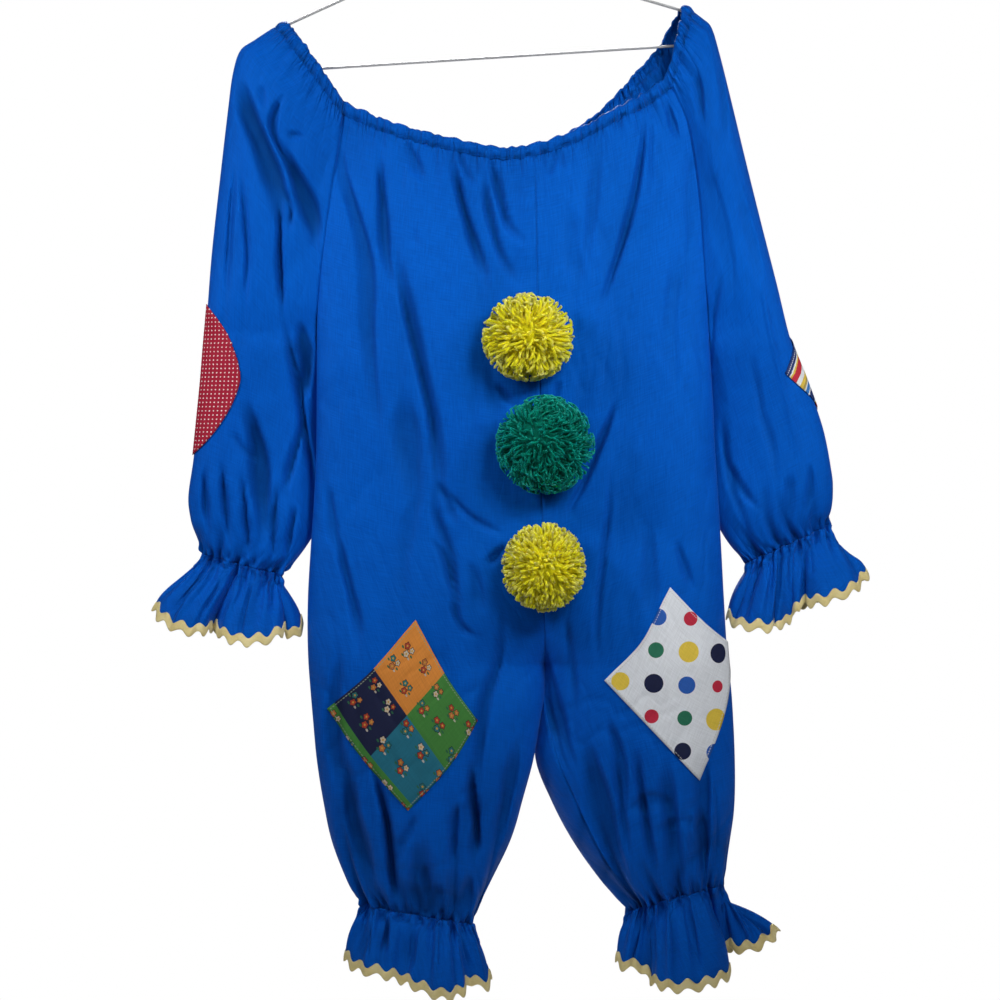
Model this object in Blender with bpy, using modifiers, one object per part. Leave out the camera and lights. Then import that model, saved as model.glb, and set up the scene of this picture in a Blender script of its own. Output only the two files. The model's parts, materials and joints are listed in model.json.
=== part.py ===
# A child's clown jumpsuit hanging on a wire hanger.
# x runs across the front, -y faces the viewer and z is up; the rod that holds the hook passes through
# the origin. Sizes are in millimetres, and "drop" is the distance below the rod.
import math
import random

import bmesh
import bpy
import numpy as np
from mathutils import Vector
from mathutils.bvhtree import BVHTree

for leftover in list(bpy.data.objects):
    bpy.data.objects.remove(leftover, do_unlink=True)

metre = 0.001
cloth_wall = 1.2
seam_half_gap = 0.25
edge_half_gap = 0.7  # where a wall turns round a tube's edge
casing_height = 11.8
skin_lift = 1.25  # from a panel to the inside of what is sewn on it
front = -1
back = 1

suit = bpy.data.collections.new("clown_jumpsuit")
bpy.context.scene.collection.children.link(suit)


def table(columns, rows):
    values = np.array(rows, dtype=float)
    return {name: values[:, i] for i, name in enumerate(columns.split())}


def smooth(places, values, at):
    # cubic curve through the rows of a table
    at = np.clip(at, places[0], places[-1])
    slopes = np.gradient(values, places)
    i = np.clip(np.searchsorted(places, at) - 1, 0, len(places) - 2)
    step = places[i + 1] - places[i]
    t = (at - places[i]) / step
    start = (1 + 2 * t) * (1 - t) ** 2 * values[i] + t * (1 - t) ** 2 * step * slopes[i]
    end = t * t * (3 - 2 * t) * values[i + 1] + t * t * (t - 1) * step * slopes[i + 1]
    return start + end


def root(value, power=0.5):
    return np.clip(value, 0.0, None) ** power


# ---- sizes of the body ----

# one row for each height: where the sides, the centre seam and the legs' inner edges run
outline = table("drop right_side right_inner left_inner left_side", [
    (150, -110.0, 54.0, 54.0, 146.0),
    (175, -112.0, 54.0, 54.0, 163.0),
    (200, -115.0, 54.0, 54.0, 176.5),
    (226, -118.5, 54.0, 54.0, 189.0),
    (256, -122.0, 54.0, 54.0, 196.0),
    (310, -130.0, 55.0, 55.0, 202.5),
    (364, -137.0, 56.0, 56.0, 206.0),
    (410, -141.0, 57.0, 57.0, 209.5),
    (440, -141.5, 57.5, 57.5, 211.5),
    (482, -141.5, 58.5, 58.5, 214.0),
    (526, -142.0, 59.5, 59.5, 216.0),
    (572, -144.0, 60.5, 60.5, 219.0),
    (616, -147.0, 61.5, 61.5, 221.5),
    (662, -149.5, 62.5, 62.5, 224.0),
    (719, -149.0, 63.0, 63.0, 228.0),
    (756, -146.0, 59.5, 60.5, 232.0),
    (803, -142.0, 53.0, 55.5, 234.0),
    (842, -136.0, 43.0, 69.0, 234.0),
    (878, -128.5, 33.0, 88.0, 231.0),
    (914, -115.0, 18.0, 113.0, 227.5),
    (940, -103.0, 7.0, 134.0, 227.0),
    (960, -100.0, 0.0, 141.0, 227.0),
])

# side_half is half the gap between front and back at the side edge, fold_y where that edge lies
depth = table("drop side_half fold_y front back power", [
    (150, 11.0, 0.0, 17.0, 15.0, 1.2),
    (200, 12.5, 0.0, 25.0, 21.0, 1.2),
    (256, 14.0, -1.0, 32.0, 27.0, 1.1),
    (310, 14.0, -3.0, 36.0, 30.0, 0.95),
    (364, 11.0, -5.0, 39.0, 32.0, 0.75),
    (410, 6.0, -7.0, 41.0, 33.0, 0.6),
    (440, 0.7, -8.5, 42.0, 34.0, 0.5),
    (482, 0.7, -9.5, 42.0, 34.0, 0.5),
    (572, 0.7, -10.0, 42.0, 33.0, 0.5),
    (662, 0.7, -9.0, 40.0, 32.0, 0.5),
    (756, 0.7, -5.0, 37.0, 31.0, 0.5),
    (842, 0.7, -2.0, 33.0, 29.0, 0.5),
    (878, 0.7, 0.0, 30.0, 27.0, 0.5),
    (914, 0.7, 0.0, 24.0, 22.0, 0.5),
    (940, 0.7, 0.0, 18.0, 17.0, 0.5),
    (960, 0.7, 0.0, 15.5, 15.0, 0.5),
])

underarm_drop = 431.0
crotch = {"starts": 600.0, "ends": 719.0}
leg_shift = {"right": -5.0, "left": 6.0, "starts": 712.0, "ends": 762.0}
# how far the left leg's inseam is turned to the front, as a share of the panel's width
inseam_turn = table("drop share", [(600, 0.0), (724, 0.0), (760, 0.03), (803, 0.11), (860, 0.14), (920, 0.13), (960, 0.13)])

# the cloth's edge under the casing, and the bottoms of the legs
front_neck = table("x drop", [
    (-130, 220.0), (-116.5, 225.9), (-73.4, 243.9), (-9.5, 261.0), (27.5, 267.3), (54.5, 263.7),
    (96.8, 248.4), (129.2, 230.4), (153.5, 217.8), (177.0, 200.7), (190.0, 190.0)])
back_neck = table("x drop", [
    (-130, 226.0), (-116.5, 233.1), (-67.0, 253.8), (-13.0, 265.5), (23.0, 266.4), (54.5, 261.0),
    (87.8, 247.5), (113.0, 230.4), (131.0, 214.2), (149.0, 195.3), (163.5, 175.5), (175.0, 160.0)])
leg_end = {"right": (954.0, 937.0), "left": (944.0, 917.0)}  # drop at the inner edge, at the side

# creases that run down the cloth: x, drop, then x, drop at the other end, half width, depth
creases = table("x0 drop0 x1 drop1 width depth", [
    (-122, 240, -95, 430, 13, 5.0),
    (-95, 430, -80, 560, 14, 4.5),
    (-84, 262, -52, 420, 11, 5.5),
    (-52, 420, -26, 640, 11, 5.0),
    (-26, 640, 4, 715, 10, 4.0),
    (-18, 260, 12, 400, 10, 4.5),
    (10, 272, 44, 380, 9, 3.5),
    (154, 218, 118, 400, 12, 5.5),
    (118, 470, 85, 600, 11, 4.0),
    (166, 228, 160, 320, 9, 3.0),
    (124, 540, 112, 720, 12, 3.0),
    (-8, 735, 3, 860, 11, 3.5),
    (-80, 850, -72, 935, 10, 4.0),
    (140, 775, 168, 935, 12, 4.5),
    (118, 770, 137, 870, 10, 3.5),
])


def crease_depth(x, drop):
    total = np.zeros_like(x)
    for x0, drop0, x1, drop1, width, deep in zip(*creases.values()):
        along_x = x1 - x0
        along_drop = drop1 - drop0
        length = math.hypot(along_x, along_drop)
        share = ((x - x0) * along_x + (drop - drop0) * along_drop) / length ** 2
        across = ((x - x0) * along_drop - (drop - drop0) * along_x) / length
        ends = np.clip(share * (1 - share) * 6, 0, 1)
        total += deep * ends * np.exp(-(across / width) ** 2)
    return total


def body(side, sheet, share, drop):
    # share runs from the centre or inseam, 0, to the side, 1; below 0 the back wraps to the front
    share = np.asarray(share, dtype=float)
    drop = np.asarray(drop, dtype=float)
    sheet = np.where(share < 0, -sheet, sheet)
    share = np.abs(share)
    closure = np.clip((drop - crotch["starts"]) / (crotch["ends"] - crotch["starts"]), 0.001, 1)
    inner = smooth(outline["drop"], outline[side + "_inner"], drop)
    outer = smooth(outline["drop"], outline[side + "_side"], drop)
    inner = inner + np.sign(outer - inner) * seam_half_gap
    u = (1 - closure) * np.sin(share * math.pi / 2) + closure * (1 - np.cos(share * math.pi)) / 2
    x = inner + (outer - inner) * u
    fullest = closure / 2
    beyond = (u - fullest) / (1 - fullest)
    within = (fullest - u) / fullest
    power = smooth(depth["drop"], depth["power"], drop)
    swell = np.where(u >= fullest, root(1 - beyond ** 2, power), root(1 - (closure * within) ** 2))
    side_half = np.maximum(smooth(depth["drop"], depth["side_half"], drop), edge_half_gap)
    reach = np.where(sheet < 0, smooth(depth["drop"], depth["front"], drop),
                     smooth(depth["drop"], depth["back"], drop))
    shift_share = np.clip((drop - leg_shift["starts"]) / (leg_shift["ends"] - leg_shift["starts"]), 0, 1)
    middle = smooth(depth["drop"], depth["fold_y"], drop) * u ** 2
    middle = middle + leg_shift[side] * shift_share * (1 - u) ** 2
    dent = crease_depth(x, drop) * np.clip(swell * 1.6 - 0.3, 0, 1)
    y = middle + sheet * (side_half + (reach - side_half) * swell - dent)
    return np.stack([x, y, -drop], axis=-1) * metre


def panel(side, sheet):
    # the surface of one panel, as a function of its share across and down
    neck = front_neck if sheet == front else back_neck

    def surface(across, down):
        across = np.asarray(across, dtype=float)
        down = np.asarray(down, dtype=float)
        top = np.full_like(across, 240.0)
        for _ in range(6):
            top = smooth(neck["x"], neck["drop"], body(side, sheet, across, top)[..., 0] / metre)
        inner_end, side_end = leg_end[side]
        turn = inseam_turn["share"][-1] if side == "left" else 0.0
        turn = math.acos(1 - 2 * turn) / math.pi * -sheet
        bottom_share = turn + (1 - turn) * across
        bottom = inner_end + (side_end - inner_end) * (1 - np.cos(bottom_share * math.pi)) / 2
        drop = top + (bottom - top) * down
        turn = smooth(inseam_turn["drop"], inseam_turn["share"], drop) if side == "left" else 0.0
        turn = np.arccos(1 - 2 * np.clip(turn, 0, 1)) / math.pi
        seam = 0.001 + 0.008 * np.clip((drop - crotch["starts"]) / 119.0, 0, 1)
        start = turn + seam if sheet == front else seam - turn
        return body(side, sheet, start + (1 - start) * across, drop)

    return surface


# ---- sleeves: one row for each fold line from the raglan seam or inner edge to the outer fold ----

sleeve_rows = {
    "right": table("front_drop back_drop inner_x inner_y outer_x outer_drop outer_y half", [
        (224.5, 231.5, 0.0, -1.0, -179.1, 144.5, 0.0, 9.0),
        (244, 250, 0.0, -1.0, -197.6, 156.6, 0.0, 9.0),
        (261, 265, 0.0, -1.0, -211.0, 166.5, 0.0, 11.0),
        (282, 284, 0.0, -2.0, -217.4, 186.3, 0.0, 13.0),
        (306, 306, 0.0, -3.0, -221.9, 220.5, 0.5, 15.0),
        (337, 337, 0.0, -4.0, -228.2, 274.5, 1.0, 16.0),
        (373, 373, 0.0, -5.0, -236.3, 346.5, 2.0, 17.0),
        (405, 405, 0.0, -7.0, -240.8, 402.3, 3.0, 18.0),
        (428, 428, -141.9, -8.0, -243.5, 432.0, 3.5, 18.0),
        (463, 463, -139.0, 6.0, -246.2, 465.0, 4.0, 19.0),
        (500, 500, -137.3, 11.0, -249.8, 501.3, 4.0, 20.0),
        (534, 534, -137.3, 12.0, -253.4, 535.5, 4.0, 21.0),
        (567, 567, -138.5, 11.0, -257.9, 567.9, 4.0, 22.0),
        (594, 594, -141.8, 8.0, -256.0, 587.7, 4.0, 20.0),
        (615, 615, -151.7, 5.0, -251.6, 604.8, 4.0, 16.0),
        (640.8, 640.8, -170.6, 4.0, -248.9, 620.0, 4.0, 13.0),
    ]),
    "left": table("front_drop back_drop inner_x inner_y outer_x outer_drop outer_y half", [
        (199.5, 174.5, 0.0, -1.0, 196.6, 131.4, 0.0, 9.0),
        (212, 190, 0.0, -1.0, 205.0, 138.0, 0.0, 9.0),
        (226, 210, 0.0, -1.0, 213.3, 146.5, 0.0, 11.0),
        (247, 238, 0.0, -1.0, 220.5, 170.0, 0.0, 13.0),
        (279, 276, 0.0, -2.0, 230.9, 211.5, 0.5, 15.0),
        (319, 319, 0.0, -3.0, 243.5, 263.7, 1.0, 16.0),
        (364, 364, 0.0, -5.0, 257.9, 321.3, 2.0, 17.0),
        (402, 402, 0.0, -7.0, 272.3, 377.1, 3.0, 18.0),
        (428, 428, 211.6, -8.0, 284.9, 427.5, 3.5, 18.0),
        (468, 468, 209.3, 7.0, 299.3, 464.4, 4.0, 19.0),
        (508, 508, 208.4, 11.0, 313.7, 505.8, 4.0, 20.0),
        (540, 540, 208.4, 12.0, 320.9, 540.9, 4.0, 21.0),
        (564, 564, 210.2, 11.0, 324.0, 567.0, 4.0, 22.0),
        (586, 586, 215.6, 8.0, 322.7, 582.3, 4.0, 20.0),
        (608, 608, 227.3, 5.0, 321.8, 589.5, 4.0, 16.0),
        (629.1, 629.1, 244.4, 4.0, 321.8, 594.0, 4.0, 13.0),
    ]),
}
sleeve_closes = (7.6, 9.0)      # rows between which the raglan opening becomes a tube
tube_from_row = 8.4             # below this row the underarm seam is joined
raglan_gap = 2.2
sleeve_folds = {"count": 5, "size": 2.6, "from_row": 10.5}


def side_edge(panel_name, drop):
    # x and y of a panel's side edge at a drop
    edge = cloth_points[panel_name][:, -1] / metre
    return np.interp(drop, -edge[:, 2], edge[:, 0]), np.interp(drop, -edge[:, 2], edge[:, 1])


def sleeve(side):
    rows = sleeve_rows[side]
    places = np.arange(len(rows["half"]), dtype=float)
    outward = -1 if side == "right" else 1

    def surface(across, down):
        # across runs from the front raglan edge, 0, round the outer fold, 1, to the back edge, 2
        row = np.asarray(down, dtype=float) * places[-1]
        round_share = np.asarray(across, dtype=float) * 2
        on_back = round_share > 1
        lap = np.where(on_back, 2 - round_share, round_share)
        value = {name: smooth(places, column, row) for name, column in rows.items()}
        inner_drop = np.where(on_back, value["back_drop"], value["front_drop"])
        closed = np.clip((row - sleeve_closes[0]) / (sleeve_closes[1] - sleeve_closes[0]), 0, 1)
        closed = closed * closed * (3 - 2 * closed)
        u = (1 - closed) * np.sin(lap * math.pi / 2) + closed * (1 - np.cos(lap * math.pi)) / 2
        front_x, front_y = side_edge("front_" + side, value["front_drop"])
        back_x, back_y = side_edge("back_" + side, value["back_drop"])
        on_raglan = inner_drop < underarm_drop
        open_half = edge_half_gap * (row < tube_from_row)
        edge_x = np.where(on_back, back_x, front_x) + outward * raglan_gap
        inner_x = np.where(on_raglan, edge_x, value["inner_x"])
        inner_front = np.where(on_raglan, front_y, value["inner_y"] - open_half)
        inner_back = np.where(on_raglan, back_y, value["inner_y"] + open_half)
        inner_mid = (inner_front + inner_back) / 2
        inner_half = (inner_back - inner_front) / 2
        x = inner_x + (value["outer_x"] - inner_x) * u
        drop = inner_drop + (value["outer_drop"] - inner_drop) * u
        bulge = (1 - closed) * 2 * u * root(1 - u) + closed * 2 * root(u * (1 - u))
        swell = inner_half * root(1 - u ** 3) + value["half"] * bulge
        fold_share = np.clip((row - sleeve_folds["from_row"]) / 3, 0, 1)
        folds = sleeve_folds["size"] * fold_share * np.cos(2 * math.pi * sleeve_folds["count"] * u)
        swell = swell + folds * bulge
        middle = inner_mid + (value["outer_y"] - inner_mid) * u
        y = middle + np.where(on_back, 1, -1) * swell
        return np.stack([x, y, -drop], axis=-1) * metre

    return surface


# ---- frills: rings from the elastic to the hem; left and right are the picture's ----

frill_rows = {
    "wrist_ruffle_right": table("x0 drop0 x1 drop1 half mid wave droop", [
        (-248.9, 620.9, -170.6, 641.7, 13.0, 4.0, 1.0, 0.0),
        (-257.9, 633.6, -170.6, 650.7, 15.0, 4.0, 1.8, 3.0),
        (-275.9, 649.8, -166.0, 664.0, 20.0, 4.0, 3.4, 9.0),
        (-287.6, 667.8, -155.3, 683.1, 26.0, 4.0, 5.0, 20.0)]),
    "wrist_ruffle_left": table("x0 drop0 x1 drop1 half mid wave droop", [
        (244.4, 630.3, 321.8, 595.2, 13.0, 4.0, 1.0, 0.0),
        (240.8, 640.8, 331.7, 607.5, 15.0, 4.0, 1.8, 3.0),
        (234.5, 657.0, 344.3, 621.9, 20.0, 4.0, 3.4, 9.0),
        (227.3, 676.8, 354.2, 638.1, 26.0, 4.0, 5.0, 22.0)]),
    "ankle_ruffle_right": table("x0 drop0 x1 drop1 half mid wave droop", [
        (-102.8, 937.8, 1.8, 954.9, 16.0, -1.0, 1.2, 0.0),
        (-105.8, 949.5, 2.3, 963.9, 17.5, -1.0, 2.0, 2.0),
        (-112.0, 965.7, 5.9, 978.3, 22.0, -1.0, 3.6, 8.0),
        (-116.6, 982.8, 14.9, 1000.8, 27.0, -1.0, 5.2, 23.0)]),
    "ankle_ruffle_left": table("x0 drop0 x1 drop1 half mid wave droop", [
        (136.0, 945.1, 227.0, 917.9, 15.5, 1.0, 1.2, 0.0),
        (136.4, 953.1, 240.0, 926.5, 17.5, 1.0, 2.0, 4.0),
        (131.9, 967.5, 257.0, 940.0, 23.0, 1.0, 3.8, 14.0),
        (126.5, 982.8, 272.5, 963.0, 29.0, 1.0, 5.6, 30.0)]),
}
frill = {"waves": 11, "columns": 44, "rows": 3, "crowding": 1.0}


def ring(name):
    rows = frill_rows[name]
    places = np.linspace(0, 1, len(rows["half"]))

    def surface(across, down):
        angle = np.asarray(across, dtype=float) * 2 * math.pi
        down = np.asarray(down, dtype=float)
        inside = np.clip(down, 0, 1)
        value = {key: smooth(places, column, inside) for key, column in rows.items()}
        spread = (1 - np.cos(angle)) / 2
        wave = value["wave"] * np.cos(frill["waves"] * angle + 0.7 * np.sin(2 * angle))
        wave = wave * (0.3 + 0.7 * np.abs(np.sin(angle)))
        reach = value["half"] + wave
        sway = wave * np.cos(angle)
        x = value["x0"] + (value["x1"] - value["x0"]) * spread - sway
        drop = value["drop0"] + (value["drop1"] - value["drop0"]) * spread
        drop = drop + value["droop"] * np.sin(angle) ** 2
        drop = drop + (down - inside) * 34.0
        y = value["mid"] - reach * np.sin(angle)
        return np.stack([x, y, -drop], axis=-1) * metre

    return surface


# ---- making meshes ----

def make_material(name, colour, roughness=0.85, metallic=0.0):
    material = bpy.data.materials.new(name)
    material.use_nodes = True
    shader = material.node_tree.nodes["Principled BSDF"]
    shader.inputs["Base Color"].default_value = (*colour, 1.0)
    shader.inputs["Roughness"].default_value = roughness
    shader.inputs["Metallic"].default_value = metallic
    material.diffuse_color = (*colour, 1.0)
    return material


blue = (0.010, 0.095, 0.480)
yellow_braid = (0.740, 0.610, 0.230)
yellow_yarn = (0.930, 0.800, 0.060)
green_yarn = (0.010, 0.190, 0.090)


def normals(surface, across, down, step=2e-3):
    along = surface(across + step, down) - surface(across - step, down)
    fall = surface(across, down + step) - surface(across, down - step)
    facing = np.cross(along, fall)
    return facing / np.maximum(np.linalg.norm(facing, axis=-1, keepdims=True), 1e-12)


def grid(columns, rows):
    across, down = np.meshgrid(np.linspace(0, 1, columns + 1), np.linspace(0, 1, rows + 1))
    return across, down


def grid_mesh(name, points):
    # a flat grid, bent to the points; edges that meet are welded
    row_count, column_count = points.shape[:2]
    sheet = bmesh.new()
    bmesh.ops.create_grid(sheet, x_segments=column_count - 1, y_segments=row_count - 1, size=1)
    for corner in sheet.verts:
        j = round((corner.co.x + 1) / 2 * (column_count - 1))
        i = round((1 - corner.co.y) / 2 * (row_count - 1))
        corner.co = points[i, j]
    bmesh.ops.remove_doubles(sheet, verts=sheet.verts, dist=0.0001)
    mesh = bpy.data.meshes.new(name)
    sheet.to_mesh(mesh)
    sheet.free()
    return mesh


def add_shell(name, points, wall, material):
    # a cloth piece: the points are its outer face, and its wall goes inward
    mesh = grid_mesh(name, points)
    middle = Vector(points.reshape(-1, 3).mean(axis=0).tolist())
    middle.y = 0.0 if abs(middle.y) > 0.012 else middle.y
    outward = sum((face.center - middle).dot(face.normal) * face.area for face in mesh.polygons)
    if outward < 0:
        mesh.flip_normals()
    item = bpy.data.objects.new(name, mesh)
    suit.objects.link(item)
    item.data.materials.append(material)
    for face in mesh.polygons:
        face.use_smooth = True
    thicken = item.modifiers.new("wall", "SOLIDIFY")
    thicken.thickness = wall * metre
    thicken.offset = -1.0
    return item


# ---- the panels, sleeves and frills ----

panel_grid = {"columns": 14, "rows": 16, "crowding": 1.15}    # rows lie closer near the neck
sleeve_grid = {"columns": 18, "rows": 14, "crowding": 1.0}

cloth_points = {}
surfaces = {}
for side in ("right", "left"):
    surfaces["front_" + side] = panel(side, front)
    surfaces["back_" + side] = panel(side, back)
    surfaces["sleeve_" + side] = sleeve(side)
for name in frill_rows:
    surfaces[name] = ring(name)

for name, surface in surfaces.items():
    size = panel_grid
    if "sleeve" in name:
        size = sleeve_grid
    if "ruffle" in name:
        size = frill
    across, down = grid(size["columns"], size["rows"])
    cloth_points[name] = surface(across, down ** size["crowding"])
    add_shell(name, cloth_points[name], cloth_wall, make_material(name + "_cloth", blue))


def on_cloth(name, across, down):
    # a place on the piece's own flat faces
    points = cloth_points[name]
    row_count, column_count = points.shape[:2]
    crowding = panel_grid["crowding"] if name.startswith(("front", "back")) else 1.0
    row_place = np.clip(down, 0, 1) ** (1 / crowding) * (row_count - 1)
    column_place = np.clip(across, 0, 1) * (column_count - 1)
    i = np.minimum(row_place.astype(int), row_count - 2)
    j = np.minimum(column_place.astype(int), column_count - 2)
    s = (row_place - i)[..., None]
    t = (column_place - j)[..., None]
    upper = points[i, j] * (1 - t) + points[i, j + 1] * t
    lower = points[i + 1, j] * (1 - t) + points[i + 1, j + 1] * t
    return upper * (1 - s) + lower * s


# ---- the shirred casing round the neck ----

casing = {"gathers": 42, "columns": 168, "wall": 1.0, "gap": 0.9}
casing_rows = table("up wave", [(0.0, 0.35), (0.45, 0.75), (1.0, 1.25)])


def neck_ring(count):
    # the cloth's top edge all round, from the centre front by the wearer's right, and its way up
    order = [("front_right", 0, 1), ("sleeve_right", 0, 1), ("back_right", 1, 0),
             ("back_left", 0, 1), ("sleeve_left", 1, 0), ("front_left", 1, 0)]
    places, ways = [], []
    for name, start, end in order:
        across = np.linspace(start, end, 60)
        top = on_cloth(name, across, np.zeros(60))
        below = surfaces[name](across, np.full(60, 0.012))
        places.append(top)
        ways.append(top - below)
    places = np.concatenate(places)
    ways = np.concatenate(ways)
    ways /= np.linalg.norm(ways, axis=1, keepdims=True)
    step = np.linalg.norm(np.diff(places, axis=0, append=places[:1]), axis=1)
    length = np.concatenate([[0], np.cumsum(step)])
    even = np.linspace(0, length[-1], count, endpoint=False)
    ring_points = np.stack([np.interp(even, length[:-1], places[:, i], period=length[-1]) for i in range(3)], 1)
    ring_ways = np.stack([np.interp(even, length[:-1], ways[:, i], period=length[-1]) for i in range(3)], 1)
    for _ in range(6):
        ring_ways = (np.roll(ring_ways, 1, 0) + ring_ways * 2 + np.roll(ring_ways, -1, 0)) / 4
    ring_ways /= np.linalg.norm(ring_ways, axis=1, keepdims=True)
    return ring_points, ring_ways


def casing_points():
    base, up = neck_ring(casing["columns"])
    along = np.roll(base, -1, 0) - np.roll(base, 1, 0)
    facing = np.cross(along, up)
    facing /= np.linalg.norm(facing, axis=1, keepdims=True)
    centre = base.mean(axis=0)
    if np.sum(facing * (base - centre)) < 0:
        facing = -facing
    turn = np.arange(casing["columns"]) / casing["columns"] * 2 * math.pi
    wave = np.cos(casing["gathers"] * turn + 0.8 * np.sin(5 * turn))
    rows = []
    for share, size in zip(*casing_rows.values()):
        rise = casing["gap"] + share * casing_height
        rows.append(base + up * rise * metre + facing * (wave * size)[:, None] * metre)
    points = np.array(rows)
    return np.concatenate([points, points[:, :1]], axis=1)


add_shell("neck_casing", casing_points(), casing["wall"], make_material("casing_cloth", blue))

# ---- rick-rack on the frills' hems ----

braid = {"waves": 22, "steps": 4, "width": 5.0, "swing": 2.9, "wall": 1.0, "centre": 0.955, "lift": 1.5}


def braid_points(name):
    surface = surfaces[name]
    count = braid["waves"] * braid["steps"]
    across = np.linspace(0, 1, count + 1)
    fall = np.linalg.norm(surface(across, np.full(count + 1, 1.0)) - surface(across, np.full(count + 1, 0.9)),
                          axis=1) / 0.1 / metre
    swing = braid["swing"] * np.cos(across * 2 * math.pi * braid["waves"])
    rows = []
    for edge in (-0.5, 0.5):
        down = braid["centre"] + (swing + edge * braid["width"]) / fall
        on_frill = on_cloth(name, across, np.minimum(down, 0.99))
        out = normals(surface, across, np.minimum(down, 0.99))
        middle = surface(across, np.full(count + 1, 0.9)).mean(axis=0)
        out *= np.sign(np.sum(out * (on_frill - middle), axis=1).sum())
        past = np.maximum(down - 0.99, 0) * fall
        rows.append(on_frill + out * (braid["wall"] + braid["lift"]) * metre - past[:, None] * (0, 0, metre))
    return np.array(rows)


for name in frill_rows:
    trim_name = name.replace("ruffle", "trim")
    add_shell(trim_name, braid_points(name), braid["wall"], make_material(trim_name + "_braid", yellow_braid))

# ---- patches: a top and a bottom edge over the panel's own columns ----

patch_wall = 1.0
patch_steps = 6


def add_patch(name, panel_name, lefts, top, bottom, colour):
    # lefts are shares across the panel, top and bottom the shares down it, one for each column
    surface = surfaces[panel_name]
    rows = []
    for k in range(patch_steps + 1):
        down = top + (bottom - top) * k / patch_steps
        rows.append((on_cloth(panel_name, lefts, down), normals(surface, lefts, down)))
    points = np.array([row[0] for row in rows])
    out = np.array([row[1] for row in rows])
    centre = surface(np.array([0.02, 0.5, 0.98]), np.full(3, 0.5)).mean(axis=0)
    if np.sum(out * (points - np.where([1, 0, 1], centre, 0.0))) < 0:
        out = -out
    add_shell(name, points + out * (patch_wall + skin_lift) * metre, patch_wall,
              make_material(name + "_cloth", colour))


def share_down(surface, across, drop):
    # the share down the panel at which each column reaches a drop
    low = np.zeros_like(across)
    high = np.ones_like(across)
    for _ in range(30):
        guess = (low + high) / 2
        deeper = -surface(across, guess)[..., 2] / metre > drop
        high = np.where(deeper, guess, high)
        low = np.where(deeper, low, guess)
    return (low + high) / 2


def knee_patch(name, panel_name, corners, colour):
    # corners in x and drop: left, top, right, bottom
    surface = surfaces[panel_name]
    left, top, right, bottom = corners
    columns = np.linspace(0, 1, panel_grid["columns"] + 1)
    middle_drop = (left[1] + right[1]) / 2
    down_guess = share_down(surface, columns, np.full_like(columns, middle_drop))
    xs = surface(columns, down_guess)[:, 0] / metre
    order = np.argsort(xs)
    first, last = np.interp([left[0] + 2, right[0] - 2], xs[order], columns[order])
    last = min(last, 0.965)
    inside = columns[(columns > min(first, last) + 0.01) & (columns < max(first, last) - 0.01)]
    across = np.concatenate([[min(first, last)], inside, [max(first, last)]])
    edges = []
    for middle, lean in ((top, -1), (bottom, 1)):
        drop = np.full_like(across, middle_drop)
        for _ in range(12):
            x = surface(across, share_down(surface, across, drop))[:, 0] / metre
            drop = np.interp(x, [left[0], middle[0], right[0]], [left[1], middle[1], right[1]])
        edges.append(share_down(surface, across, drop + lean * 1.0))
    add_patch(name, panel_name, across, edges[0], edges[1], colour)


def elbow_patch(name, sleeve_name, centre_drop, half_height, half_width, past_fold, colour):
    # a square on its point; past_fold is how far its middle lies behind the sleeve's outer fold
    surface = surfaces[sleeve_name]
    fine = np.linspace(0, 1, 241)
    level = share_down(surface, fine, np.full_like(fine, centre_drop))
    line = surface(fine, level) / metre
    run = np.concatenate([[0], np.cumsum(np.linalg.norm(np.diff(line, axis=0), axis=1))])
    fold = run[np.argmax(np.abs(line[:, 0] - line[0, 0]))]
    middle = fold + past_fold
    columns = np.linspace(0, 1, sleeve_grid["columns"] + 1)
    first, last = np.interp([middle - half_width, middle + half_width], run, fine)
    inside = columns[(columns > first + 0.012) & (columns < last - 0.012)]
    across = np.concatenate([[first], inside, [last]])
    away = np.abs(np.interp(across, fine, run) - middle) / half_width
    reach = half_height * (1 - away) + 1.5
    top = share_down(surface, across, centre_drop - reach)
    bottom = share_down(surface, across, centre_drop + reach)
    add_patch(name, sleeve_name, across, top, bottom, colour)


knee_patch("knee_patch_right", "front_right",
           ((-132.0, 760.0), (-53.0, 680.0), (3.0, 767.0), (-60.0, 851.0)), (0.020, 0.150, 0.190))
knee_patch("knee_patch_left", "front_left",
           ((115.0, 733.0), (176.0, 650.0), (232.0, 722.0), (199.0, 822.0)), (0.760, 0.770, 0.800))
elbow_patch("elbow_patch_right", "sleeve_right", 463.0, 67.0, 50.0, 4.0, (0.560, 0.015, 0.060))
elbow_patch("elbow_patch_left", "sleeve_left", 460.0, 56.0, 44.0, 27.0, (0.700, 0.560, 0.500))

# ---- pompoms: locks drawn out of a small ball ----

pompoms = {
    "pompom_top": {"x": 49.0, "drop": 426.0, "width": 86.0, "height": 80.0, "colour": yellow_yarn, "seed": 3},
    "pompom_middle": {"x": 63.0, "drop": 523.0, "width": 90.0, "height": 86.0, "colour": green_yarn, "seed": 8},
    "pompom_bottom": {"x": 62.0, "drop": 631.0, "width": 76.0, "height": 82.0, "colour": yellow_yarn, "seed": 5},
}
pompom_depth = {"front": 36.0, "back": 17.0, "core": 0.62, "uneven": 0.10, "tip": 0.55, "gap": 0.9}


chests = [BVHTree.FromObject(bpy.data.objects["front_" + side], bpy.context.evaluated_depsgraph_get())
          for side in ("right", "left")]


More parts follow.
